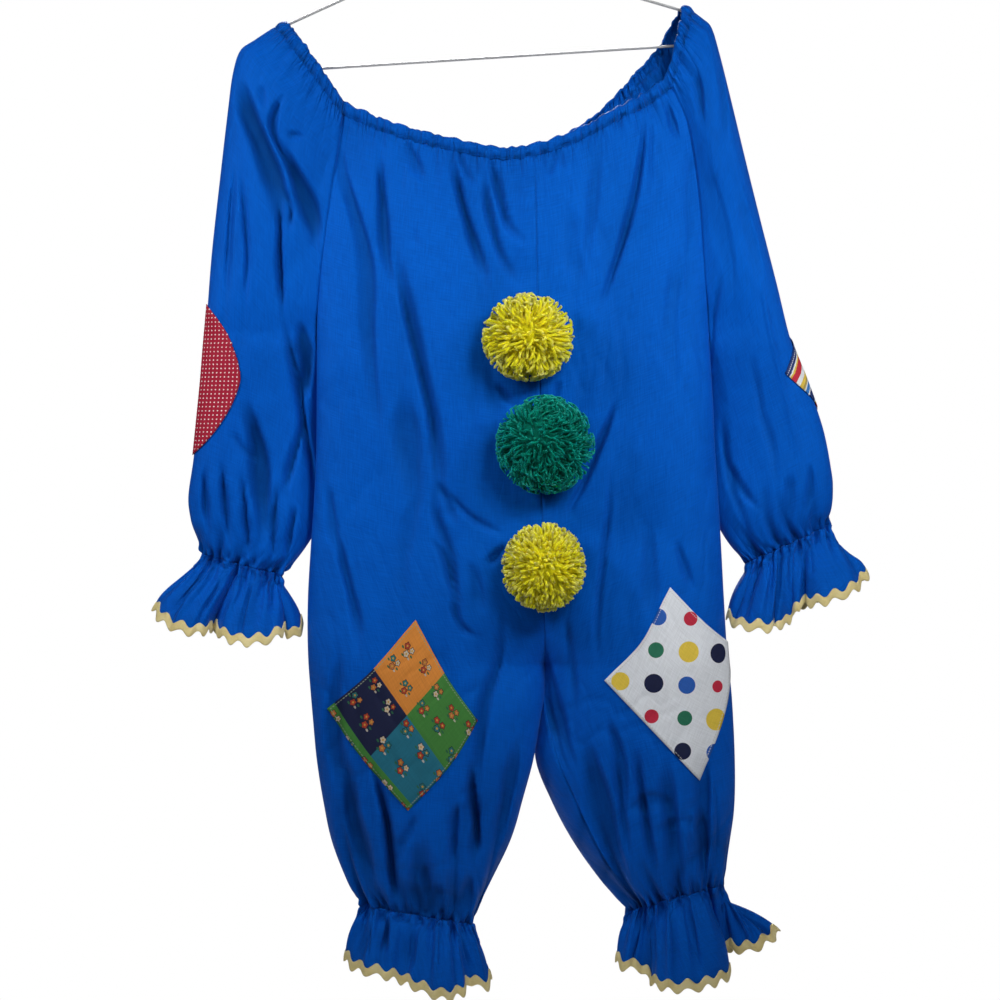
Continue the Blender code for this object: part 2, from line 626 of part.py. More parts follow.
def add_pompom(name, size):
    ball = bmesh.new()
    bmesh.ops.create_icosphere(ball, subdivisions=2, radius=pompom_depth["core"])
    chance = random.Random(size["seed"])
    faces = list(ball.faces)
    locks = bmesh.ops.extrude_discrete_faces(ball, faces=faces)["faces"]
    for lock in locks:
        way = lock.calc_center_median().normalized()
        reach = 1.0 - pompom_depth["uneven"] * chance.random()
        lean = Vector((chance.uniform(-0.05, 0.05) for _ in range(3)))
        middle = lock.calc_center_median()
        for corner in lock.verts:
            corner.co = way * reach + lean + (corner.co - middle) * pompom_depth["tip"]
    clear_of_chest = []
    for corner in ball.verts:
        reach = pompom_depth["front"] if corner.co.y < 0 else pompom_depth["back"]
        corner.co = Vector((size["x"] + corner.co.x * size["width"] / 2,
                            corner.co.y * reach - 90.0,
                            -size["drop"] + corner.co.z * size["height"] / 2)) * metre
        hits = [chest.ray_cast(corner.co, Vector((0, 1, 0)))[3] for chest in chests]
        clear_of_chest += [hit for hit in hits if hit is not None]
    toward = Vector((0, min(clear_of_chest) - pompom_depth["gap"] * metre, 0))
    bmesh.ops.translate(ball, verts=ball.verts, vec=toward)
    bmesh.ops.recalc_face_normals(ball, faces=ball.faces)
    mesh = bpy.data.meshes.new(name)
    ball.to_mesh(mesh)
    ball.free()
    item = bpy.data.objects.new(name, mesh)
    suit.objects.link(item)
    item.data.materials.append(make_material(name + "_yarn", size["colour"], 0.95))


for name, size in pompoms.items():
    add_pompom(name, size)

# ---- the hanger: one wire from the hook's tip round the triangle to the twist on the stem ----

wire = {"radius": 1.25, "hook_radius": 19.0, "hook_from": -30.0, "hook_to": 200.0, "stem_x": -14.0}
twist = {"turns": 2.25, "radius": 3.1, "pitch": 3.4, "starts": -68.0}
# x and z of the bends, from the stem round by the wearer's right
bends = table("x z radius", [
    (-14.0, -73.5, 3.0),
    (-167.0, -143.3, 8.0),
    (-179.0, -148.3, 10.0),
    (-199.0, -161.2, 10.0),
    (-210.5, -177.0, 6.0),
    (-207.5, -187.6, 5.0),
    (205.0, -161.3, 5.0),
    (208.5, -152.0, 5.0),
    (205.0, -143.2, 6.0),
    (196.5, -136.0, 8.0),
    (187.5, -131.3, 6.0),
    (-8.0, -74.6, 5.0),
])


def rounded(points, radii, steps=3):
    # each bend becomes a short curve
    path = []
    for i, (point, radius) in enumerate(zip(points, radii)):
        if i in (0, len(points) - 1):
            path.append(point)
            continue
        before = (points[i - 1] - point)
        after = (points[i + 1] - point)
        reach = min(radius, before.length * 0.45, after.length * 0.45)
        start = point + before.normalized() * reach
        end = point + after.normalized() * reach
        for k in range(steps + 1):
            t = k / steps
            path.append(start * (1 - t) ** 2 + point * 2 * t * (1 - t) + end * t * t)
    return path


def hanger_path():
    path = []
    centre = Vector((0.0, 0.0, wire["radius"] - wire["hook_radius"]))
    hook_steps = 12
    for k in range(hook_steps + 1):
        angle = math.radians(wire["hook_from"] + (wire["hook_to"] - wire["hook_from"]) * k / hook_steps)
        path.append(centre + Vector((math.cos(angle), 0, math.sin(angle))) * wire["hook_radius"])
    stem = [path[-1], Vector((wire["stem_x"], 0, -44.0))]
    stem += [Vector((x, 0, z)) for x, z in zip(bends["x"], bends["z"])]
    coil = []
    coil_steps = 15
    for k in range(coil_steps + 1):
        share = k / coil_steps
        angle = math.radians(0.0) + share * twist["turns"] * 2 * math.pi
        coil.append(Vector((wire["stem_x"] + math.cos(angle) * twist["radius"],
                            -math.sin(angle) * twist["radius"],
                            twist["starts"] + share * twist["turns"] * twist["pitch"])))
    radii = [1.0, 8.0] + list(bends["radius"]) + [2.0]
    route = rounded(stem + [coil[0]], radii)
    return path[:-1] + route[:-1] + coil


def add_hanger():
    points = [point * metre for point in hanger_path()]
    curve = bpy.data.curves.new("hanger_wire", "CURVE")
    curve.dimensions = "3D"
    spline = curve.splines.new("POLY")
    spline.points.add(len(points) - 1)
    for knot, point in zip(spline.points, points):
        knot.co = (*point, 1.0)
    curve.bevel_depth = wire["radius"] * metre
    curve.bevel_resolution = 2
    curve.use_fill_caps = True
    item = bpy.data.objects.new("hanger_wire", curve)
    suit.objects.link(item)
    item.data.materials.append(make_material("hanger_metal", (0.780, 0.790, 0.800), 0.25, 1.0))


add_hanger()
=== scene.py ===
# The finish of a child's clown jumpsuit on a wire hanger: fine cloth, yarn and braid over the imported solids.
# x runs across the front, -y faces the viewer and z is up. Tables are in millimetres, and "drop" is the
# distance below the rod that holds the hook. "right" and "left" are the wearer's own, so right is towards -x.
import json
import math

import bmesh
import bpy
import numpy as np
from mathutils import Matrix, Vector, noise

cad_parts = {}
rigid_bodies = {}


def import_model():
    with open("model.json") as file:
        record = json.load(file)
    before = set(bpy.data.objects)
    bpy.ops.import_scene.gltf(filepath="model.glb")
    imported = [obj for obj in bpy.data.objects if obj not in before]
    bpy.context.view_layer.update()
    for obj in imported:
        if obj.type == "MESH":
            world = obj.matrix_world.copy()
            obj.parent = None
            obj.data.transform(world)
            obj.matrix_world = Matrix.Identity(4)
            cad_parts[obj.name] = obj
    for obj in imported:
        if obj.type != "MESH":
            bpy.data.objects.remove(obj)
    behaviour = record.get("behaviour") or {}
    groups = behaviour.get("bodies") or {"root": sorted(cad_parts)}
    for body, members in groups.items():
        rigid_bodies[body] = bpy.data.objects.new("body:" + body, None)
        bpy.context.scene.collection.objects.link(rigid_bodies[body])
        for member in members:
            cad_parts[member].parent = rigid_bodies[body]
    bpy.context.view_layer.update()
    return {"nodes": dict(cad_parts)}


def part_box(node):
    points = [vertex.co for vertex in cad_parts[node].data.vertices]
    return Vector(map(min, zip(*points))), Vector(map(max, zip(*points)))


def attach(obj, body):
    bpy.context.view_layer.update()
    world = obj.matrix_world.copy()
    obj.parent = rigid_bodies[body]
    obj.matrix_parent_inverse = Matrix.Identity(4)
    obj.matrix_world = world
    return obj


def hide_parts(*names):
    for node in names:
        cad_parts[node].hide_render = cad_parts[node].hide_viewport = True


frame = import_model()
metre = 0.001                 # millimetres into metres
front = -1
back = 1
sides = {"right": -1, "left": 1}  # which way x runs outward
panels = [(side, sheet, word + side) for side in sides for sheet, word in ((front, "front_"), (back, "back_"))]

scene = bpy.context.scene
suit = bpy.data.collections.new("dressed_jumpsuit")
scene.collection.children.link(suit)


# camera, floor and lights

studio = {
    "cameraAt": (0.02295, -3.2, -0.5715),
    "frameWidth": 0.9,        # what the view takes in at the hanger, in metres
    "sensor": 36.0,
    "nearest": 0.05,
    "floorAt": (0.02, 0.0, -1.16),
    "floorSize": 0.93,
    "floorColour": (0.86, 0.86, 0.86),
    "floorRoughness": 0.9,
    "seenWhite": 1.0,         # the white that is seen behind the suit
    "roomLight": 0.05,        # the light of the room itself, which is dimmer
    "roomColour": (0.95, 0.97, 1.0),
}
# name, place, aim, width, power, colour, spread in degrees
softboxes = [
    ("key", (0.60, -1.35, 0.28), (0.03, 0.0, -0.42), 0.55, 1.15, (1.0, 0.99, 0.97), 45),
    ("left", (-0.95, -0.70, 0.12), (-0.26, 0.0, -0.36), 0.3, 1.2, (1.0, 1.0, 1.0), 62),
    ("right", (0.95, -0.85, 0.12), (0.33, 0.0, -0.36), 0.3, 0.85, (1.0, 1.0, 1.0), 60),
    ("fill", (-0.4, -2.4, 0.0), (0.02, 0.0, -0.40), 0.8, 5.0, (0.95, 0.98, 1.0), 180),
    ("rear", (-0.2, 2.1, 0.9), (0.02, 0.0, -0.45), 1.0, 50.0, (1.0, 1.0, 1.0), 180),
]


def makeCamera():
    lens = bpy.data.cameras.new("camera")
    distance = -studio["cameraAt"][1]
    lens.sensor_width = studio["sensor"]
    lens.lens = lens.sensor_width * distance / studio["frameWidth"]
    lens.clip_start = studio["nearest"]
    camera = bpy.data.objects.new("camera", lens)
    camera.location = studio["cameraAt"]
    camera.rotation_euler = (math.radians(90), 0, 0)
    scene.collection.objects.link(camera)
    scene.camera = camera


def addSoftbox(name, place, aim, width, power, colour, spread):
    lamp = bpy.data.lights.new(name, "AREA")
    lamp.shape = "DISK"
    lamp.size = width
    lamp.energy = power
    lamp.color = colour
    lamp.spread = math.radians(spread)
    item = bpy.data.objects.new(name, lamp)
    item.location = place
    item.rotation_euler = (Vector(aim) - Vector(place)).to_track_quat("-Z", "Y").to_euler()
    scene.collection.objects.link(item)


def lightRoom():
    world = bpy.data.worlds.new("room")
    world.use_nodes = True
    tree = world.node_tree
    tree.nodes.clear()
    path = tree.nodes.new("ShaderNodeLightPath")
    mix = tree.nodes.new("ShaderNodeMixShader")
    output = tree.nodes.new("ShaderNodeOutputWorld")
    tree.links.new(path.outputs["Is Camera Ray"], mix.inputs["Fac"])
    skies = ((studio["roomLight"], studio["roomColour"]), (studio["seenWhite"], (1, 1, 1)))
    for i, (strength, colour) in enumerate(skies):
        sky = tree.nodes.new("ShaderNodeBackground")
        sky.inputs["Strength"].default_value = strength
        sky.inputs["Color"].default_value = (*colour, 1)
        tree.links.new(sky.outputs["Background"], mix.inputs[i + 1])
    tree.links.new(mix.outputs["Shader"], output.inputs["Surface"])
    scene.world = world
    scene.view_settings.view_transform = "Standard"


def layFloor():
    ground = bmesh.new()
    bmesh.ops.create_grid(ground, x_segments=1, y_segments=1, size=studio["floorSize"])
    bmesh.ops.translate(ground, verts=ground.verts, vec=studio["floorAt"])
    mesh = bpy.data.meshes.new("floor")
    ground.to_mesh(mesh)
    ground.free()
    floor = bpy.data.objects.new("floor", mesh)
    paint = bpy.data.materials.new("floor_paint")
    paint.use_nodes = True
    shader = paint.node_tree.nodes["Principled BSDF"]
    shader.inputs["Base Color"].default_value = (*studio["floorColour"], 1)
    shader.inputs["Roughness"].default_value = studio["floorRoughness"]
    mesh.materials.append(paint)
    scene.collection.objects.link(floor)


makeCamera()
for box in softboxes:
    addSoftbox(*box)
lightRoom()
layFloor()
print("studio ready")


# tables and curves

def table(columns, rows):
    values = np.array(rows, dtype=float)
    return {name: values[:, i] for i, name in enumerate(columns.split())}


def smooth(places, values, at):
    # cubic curve through places and values
    at = np.clip(at, places[0], places[-1])
    slopes = np.gradient(values, places)
    i = np.clip(np.searchsorted(places, at) - 1, 0, len(places) - 2)
    step = places[i + 1] - places[i]
    t = (at - places[i]) / step
    start = (1 + 2 * t) * (1 - t) ** 2 * values[i] + t * (1 - t) ** 2 * step * slopes[i]
    end = t * t * (3 - 2 * t) * values[i + 1] + t * t * (t - 1) * step * slopes[i + 1]
    return start + end


def lookUp(rows, name, at):
    # a column of a table, read by the table's first column
    return smooth(next(iter(rows.values())), rows[name], at)


def root(value, power=0.5):
    return np.clip(value, 0.0, None) ** power


def ease(value, low, high):
    # 0 below low, 1 above high, with soft ends
    t = np.clip((value - low) / (high - low), 0, 1)
    return t * t * (3 - 2 * t)


def unit(values):
    return values / np.maximum(np.linalg.norm(values, axis=-1, keepdims=True), 1e-9)


def facing(points):
    # square to a grid of points, to either side of it
    return unit(np.cross(np.gradient(points, axis=1), np.gradient(points, axis=0)))


def distances(points, axis=0):
    # how far each point lies from the first one, along a line or along the lines of a grid
    step = np.linalg.norm(np.diff(points, axis=axis), axis=-1)
    return np.insert(np.cumsum(step, axis=axis), 0, 0.0, axis=axis)


def respaced(at, run, points, period=None):
    # a line's points, read at other distances along it
    return np.stack([np.interp(at, run, points[:, i], period=period) for i in range(3)], 1)


def evened(ring, rounds):
    for _ in range(rounds):
        ring = (np.roll(ring, 1, 0) + ring * 2 + np.roll(ring, -1, 0)) / 4
    return ring


def roundGap(turn):
    # the shorter way round a ring, -0.5 to 0.5
    return (turn + 0.5) % 1.0 - 0.5


def gridShares(columns, rows):
    return np.meshgrid(np.linspace(0, 1, columns + 1), np.linspace(0, 1, rows + 1))


# sizes of the body

# one row for each height: where the sides, the centre seam and the legs' inner edges run
outline = table("drop rightSide rightInner leftInner leftSide", [
    (150, -110, 54, 54, 146),
    (175, -112, 54, 54, 163),
    (200, -115, 54, 54, 176.5),
    (226, -118.5, 54, 54, 189),
    (256, -122, 54, 54, 196),
    (310, -130, 55, 55, 202.5),
    (364, -137, 56, 56, 206),
    (410, -141, 57, 57, 209.5),
    (440, -141.5, 57.5, 57.5, 211.5),
    (482, -141.5, 58.5, 58.5, 214),
    (526, -142, 59.5, 59.5, 216),
    (572, -144, 60.5, 60.5, 219),
    (616, -147, 61.5, 61.5, 221.5),
    (662, -149.5, 62.5, 62.5, 224),
    (719, -149, 63.2, 62.6, 228),
    (740, -147.5, 63.6, 60.6, 230.5),
    (770, -145, 59, 57.2, 232.6),
    (803, -142, 53.4, 54.6, 234),
    (842, -136, 43, 69, 234),
    (878, -128.5, 33, 88, 231),
    (914, -115, 18, 113, 227.5),
    (940, -103, 7, 134, 227),
    (960, -100, 0, 141, 227),
])

# sideHalf is half the gap between front and back at the side edge, foldY where that edge lies
depth = table("drop sideHalf foldY front back power", [
    (150, 11, 0, 17, 15, 1.2),
    (200, 12.5, 0, 25, 21, 1.2),
    (256, 14, -1, 32, 27, 1.1),
    (310, 14, -3, 36, 30, 0.95),
    (364, 11, -5, 39, 32, 0.75),
    (410, 6, -7, 41, 33, 0.6),
    (440, 0.7, -8.5, 42, 34, 0.5),
    (482, 0.7, -9.5, 42, 34, 0.5),
    (572, 0.7, -10, 42, 33, 0.5),
    (662, 0.7, -9, 40, 32, 0.5),
    (756, 0.7, -5, 37, 31, 0.5),
    (842, 0.7, -2, 33, 29, 0.5),
    (878, 0.7, 0, 30, 27, 0.5),
    (914, 0.7, 0, 24, 22, 0.5),
    (940, 0.7, 0, 18, 17, 0.5),
    (960, 0.7, 0, 15.5, 15, 0.5),
])

underarmDrop = 431.0
crotch = {"starts": 600.0, "ends": 719.0}  # drops between which the body parts into two legs
legShift = {"right": -5.0, "left": 6.0, "starts": 712.0, "ends": 762.0}  # y of the inner edges below there
legEnd = {"right": (954.0, 937.0), "left": (944.0, 917.0)}  # drop at the inner edge, at the side
seamHalf = 0.03               # half the gap of the centre seam
edgeHalf = 0.35               # half the gap of a joined side edge
# how far round to the front the left leg's inseam turns
inseamTurn = table("drop share", [
    (600, 0), (724, 0), (760, 0.03), (803, 0.11), (860, 0.14), (920, 0.13), (960, 0.13)])
frontNeck = table("x drop", [
    (-130, 220), (-116.5, 225.9), (-73.4, 243.9), (-9.5, 261), (27.5, 267.3), (54.5, 263.7),
    (96.8, 248.4), (129.2, 230.4), (153.5, 217.8), (177, 200.7), (190, 190)])
backNeck = table("x drop", [
    (-130, 226), (-116.5, 233.1), (-67, 253.8), (-13, 265.5), (23, 266.4), (54.5, 261),
    (87.8, 247.5), (113, 230.4), (131, 214.2), (149, 195.3), (163.5, 175.5), (175, 160)])

# folds: half width, depth, then the points that the valley runs through; a minus makes a ridge
frontFolds = [
    (8, 3.4, [(-122, 236), (-117, 279), (-107, 312), (-96, 355), (-94, 426), (-87, 491), (-81, 541)]),
    (5.5, 4.0, [(-85, 256), (-81, 312), (-76, 363), (-66, 396)]),
    (6.5, 4.6, [(-74, 334), (-59, 409), (-49, 452), (-38, 503), (-33, 551), (-30, 600)], -0.45),
    (13, 2.6, [(-62, 470), (-56, 530), (-50, 590)]),
    (4.5, 5.2, [(-92, 800), (-82, 844), (-77, 865), (-75, 881), (-74, 906), (-72, 927), (-71, 950)], -0.2),
    (4.5, 2.2, [(-49, 846), (-55, 862), (-64, 878), (-72, 900)]),
    (14, 3.6, [(-46, 868), (-49, 890), (-46, 925), (-44, 962)], -0.1),
    (4.5, 4.0, [(-14, 838), (-17, 865), (-18, 881), (-21, 904)]),
    (4, 5.0, [(-3, 800), (0, 844), (3, 865), (6, 900)]),
    (8, 3.6, [(-30, 912), (-32, 935), (-31, 960)]),
    (8, 3.0, [(-4, 905), (-6, 927), (-8, 955)]),
    (10, 3.4, [(-112, 800), (-108, 850), (-96, 900), (-88, 945)]),
    (8, 3.2, [(-120, 700), (-124, 770), (-118, 850)]),
    (12, 4.6, [(98, 780), (112, 830), (124, 880), (140, 925)]),
    (9, 3.8, [(170, 800), (176, 850), (182, 900), (186, 930)]),
    (9, 1.8, [(136, 850), (158, 838), (184, 846)]),
    (9, 3.8, [(203, 790), (206, 850), (203, 915)]),
    (8, 3.4, [(62, 700), (74, 760), (92, 820)]),
    (4.5, 3, [(-36, 551), (-33, 584), (-22, 615), (-16, 652), (-13, 678), (2, 696)]),
    (5, 4.2, [(-22, 256), (-16, 281), (-10, 307), (0, 340), (10, 370), (15, 396)]),
    (4.5, 3.6, [(8, 273), (15, 320), (28, 361), (43, 385)]),
    (4.5, 3.6, [(14, 260), (23, 299), (33, 330), (49, 346)]),
    (3, 2.2, [(-15, 256), (-8, 276), (2, 295)]),
    (3, 1.8, [(76, 256), (70, 273), (64, 287)]),
    (2.5, 1.6, [(76, 256), (78, 269), (82, 281)]),
    (6, 2.6, [(-60, 249), (-53, 269), (-42, 290)]),
    (4, 3.4, [(153, 214), (150, 261), (141, 312), (130, 350), (117, 388), (104, 421)]),
    (4, 4.2, [(127, 477), (120, 503), (109, 528), (99, 554), (76, 596)]),
    (2, 1.2, [(159, 226), (158, 269), (157, 310)]),
    (5, 1.2, [(112, 248), (107, 304), (99, 376)]),
    (2.5, 1, [(-55, 327), (-52, 340), (-49, 349)]),
    (4, 2, [(172, 214), (178, 233), (183, 251)]),
    (4, 2.5, [(20, 467), (29, 479), (38, 491)]),
    (3, 1.6, [(47, 469), (49, 478), (51, 490)]),
    (3, 1.6, [(76, 465), (73, 475), (69, 486)]),
    (3.5, 2.6, [(-33, 554), (-22, 574), (-14, 598)]),
    (3.5, 2.2, [(-26, 561), (-4, 585), (30, 604)]),
    (4, 4, [(11, 630), (20, 619), (30, 610)]),
    (4, 2.6, [(-38, 605), (-26, 623), (-21, 643), (-18, 666)]),
    (3.5, 2.2, [(-20, 659), (-11, 684), (7, 696)]),
    (6, 1.6, [(-4, 625), (5, 652), (3, 680)]),
    (5, 3.6, [(-124, 595), (-113, 640), (-104, 678), (-102, 721)]),
    (6, 2, [(-131, 554), (-127, 589), (-122, 625)]),
    (6, 3, [(28, 666), (23, 714), (10, 755), (5, 803), (2, 861)]),
    (4, 1.8, [(79, 669), (85, 701), (89, 729), (89, 771)]),
    (3, 2.2, [(122, 539), (118, 602), (112, 652), (109, 691), (115, 732)]),
    (4, 2.4, [(179, 605), (188, 631), (197, 657)]),
    (8, 2.2, [(155, 589), (158, 634), (158, 687)]),
    (6, 3.6, [(117, 763), (128, 790), (133, 816), (135, 858)]),
    (5, 3, [(-80, 839), (-76, 884), (-70, 933)]),
    (5, 3, [(5, 830), (2, 865), (-2, 903)]),
    (5, 3, [(124, 798), (132, 847), (139, 897)]),
    (5, 3.6, [(142, 781), (151, 840), (165, 924)]),
    (6, 1.4, [(160, 866), (185, 858), (210, 862)]),
    (7, 2.6, [(41, 781), (30, 839), (18, 890)]),
    (6, 2.4, [(-116, 790), (-109, 852), (-91, 910)]),
    (5, 2.2, [(-45, 894), (-41, 917), (-39, 938)]),
    (5, 2.4, [(201, 839), (206, 883), (205, 932)]),
    (5, 1.8, [(64, 741), (73, 785), (89, 830)]),
    (7, 1.6, [(-48, 554), (-62, 625), (-66, 669)]),
    (9, 1.4, [(85, 304), (89, 358), (103, 393)]),
    (8, 1.4, [(183, 349), (176, 420), (180, 482)]),
]
sleeveFoldsRight = [
    (10.5, 6.6, [(-212, 190), (-206, 212), (-199, 232), (-190, 252), (-181, 274), (-175, 294), (-174, 313),
                 (-174, 336)], 0.15),
    (3.2, 4.8, [(-175, 296), (-174, 325), (-174, 350), (-173, 375), (-170, 420)], 0.1),
    (3.0, 3.4, [(-170, 292), (-165, 307), (-164, 319), (-166, 334)]),
    (4.0, 4.0, [(-168, 206), (-177, 222), (-180, 236), (-178, 248), (-171, 263), (-162, 275)], 0.1),
    (9.0, 6.2, [(-176, 250), (-164, 272), (-155, 290), (-147, 310), (-141, 330), (-138, 358)], 0.1),
    (5, -1.6, [(-186, 238), (-176, 262), (-166, 286), (-159, 316)]),
    (3.0, 1.8, [(-169, 247), (-160, 245), (-150, 247)]),
    (3.5, 1.6, [(-191, 200), (-189, 208), (-188, 222)]),
    (2.8, 2.8, [(-211, 268), (-206, 308), (-204, 334), (-203, 355), (-204, 375), (-207, 420)], 0.1),
    (3.4, 2.4, [(-213, 268), (-217, 300), (-220, 340), (-223, 400)], -0.3),
    (4.0, 4.6, [(-172, 400), (-165, 434), (-157, 473), (-153, 503), (-147, 537), (-143, 576)]),
    (9, 6.6, [(-206, 478), (-199, 500), (-192, 526), (-189, 570), (-188, 618)], 0.4),
    (3.5, 3.4, [(-152, 494), (-163, 536), (-174, 576)]),
    (7, 8.5, [(-156, 410), (-151, 440), (-154, 486)], 0.1),
    (3.6, 4.0, [(-243, 540), (-241, 576), (-238, 606)], 0.1),
    (3.6, 4.4, [(-227, 534), (-223, 580), (-219, 616)], 0.1),
    (3.4, 4.4, [(-209, 544), (-205, 585), (-202, 626)], 0.1),
    (3.6, 4.4, [(-176, 556), (-180, 592), (-181, 630)], 0.1),
    (3.2, 3.6, [(-160, 574), (-165, 600), (-170, 628)], 0.1),
    (4, 1.8, [(-217, 509), (-206, 527), (-190, 537)]),
]
sleeveFoldsLeft = [
    (3.5, 2.0, [(222, 366), (213, 419), (210, 462)]),
    (4, 1.8, [(247, 435), (260, 499), (268, 526), (272, 572)]),
    (2.2, -1.3, [(253, 358), (267, 428), (281, 487), (297, 558)]),
    (4, 2.6, [(229, 537), (242, 563), (258, 584)]),
    (9, 1.2, [(204, 258), (222, 330), (236, 401)]),
    (4, 2.2, [(222, 491), (227, 536), (240, 582), (252, 612)]),
    (5, 2.2, [(283, 545), (284, 572), (283, 598)]),
    (4, 2.2, [(302, 537), (302, 563), (297, 589)]),
    (5, 2.0, [(198, 186), (202, 213), (204, 240)]),
    (4, 1.4, [(218, 177), (224, 213), (225, 258)]),
    (6, 1.0, [(233, 285), (249, 339), (259, 392)]),
]

sleeveRows = {
    "right": table("frontDrop backDrop innerX innerY outerX outerDrop outerY half", [
        (224.5, 231.5, -141.9, -1, -179.1, 144.5, 0, 9),
        (244, 250, -141.9, -1, -197.6, 156.6, 0, 9),
        (261, 265, -141.9, -1, -211, 166.5, 0, 11),
        (282, 284, -141.9, -2, -217.4, 186.3, 0, 13),
        (306, 306, -141.9, -3, -221.9, 220.5, 0.5, 15),
        (337, 337, -141.9, -4, -228.2, 274.5, 1, 16),
        (373, 373, -141.9, -5, -236.3, 346.5, 2, 17),
        (405, 405, -140.7, -7, -240.8, 402.3, 3, 18),
        (428, 428, -140.4, -8, -243.5, 432, 3.5, 18),
        (463, 463, -139, 6, -246.2, 465, 4, 19),
        (500, 500, -137.3, 11, -249.8, 501.3, 4, 20),
        (534, 534, -137.3, 12, -253.4, 535.5, 4, 21),
        (567, 567, -138.5, 11, -257.9, 567.9, 4, 22),
        (594, 594, -141.8, 8, -256, 587.7, 4, 20),
        (615, 615, -151.7, 5, -251.6, 604.8, 4, 16),
        (640.8, 640.8, -170.6, 4, -248.9, 620, 4, 13),
    ]),
    "left": table("frontDrop backDrop innerX innerY outerX outerDrop outerY half", [
        (199.5, 174.5, 211.6, -1, 196.6, 131.4, 0, 9),
        (212, 190, 211.6, -1, 205, 138, 0, 9),
        (226, 210, 211.6, -1, 213.3, 146.5, 0, 11),
        (247, 238, 211.6, -1, 220.5, 170, 0, 13),
        (279, 276, 211.6, -2, 230.9, 211.5, 0.5, 15),
        (319, 319, 211.6, -3, 243.5, 263.7, 1, 16),
        (364, 364, 211.6, -5, 257.9, 321.3, 2, 17),
        (402, 402, 210.6, -7, 272.3, 377.1, 3, 18),
        (428, 428, 210.6, -8, 284.9, 427.5, 3.5, 18),
        (468, 468, 209.3, 7, 299.3, 464.4, 4, 19),
        (508, 508, 208.4, 11, 313.7, 505.8, 4, 20),
        (540, 540, 208.4, 12, 320.9, 540.9, 4, 21),
        (564, 564, 210.2, 11, 324, 567, 4, 22),
        (586, 586, 215.6, 8, 322.7, 582.3, 4, 20),
        (608, 608, 227.3, 5, 321.8, 589.5, 4, 16),
        (629.1, 629.1, 244.4, 4, 321.8, 594, 4, 13),
    ]),
}

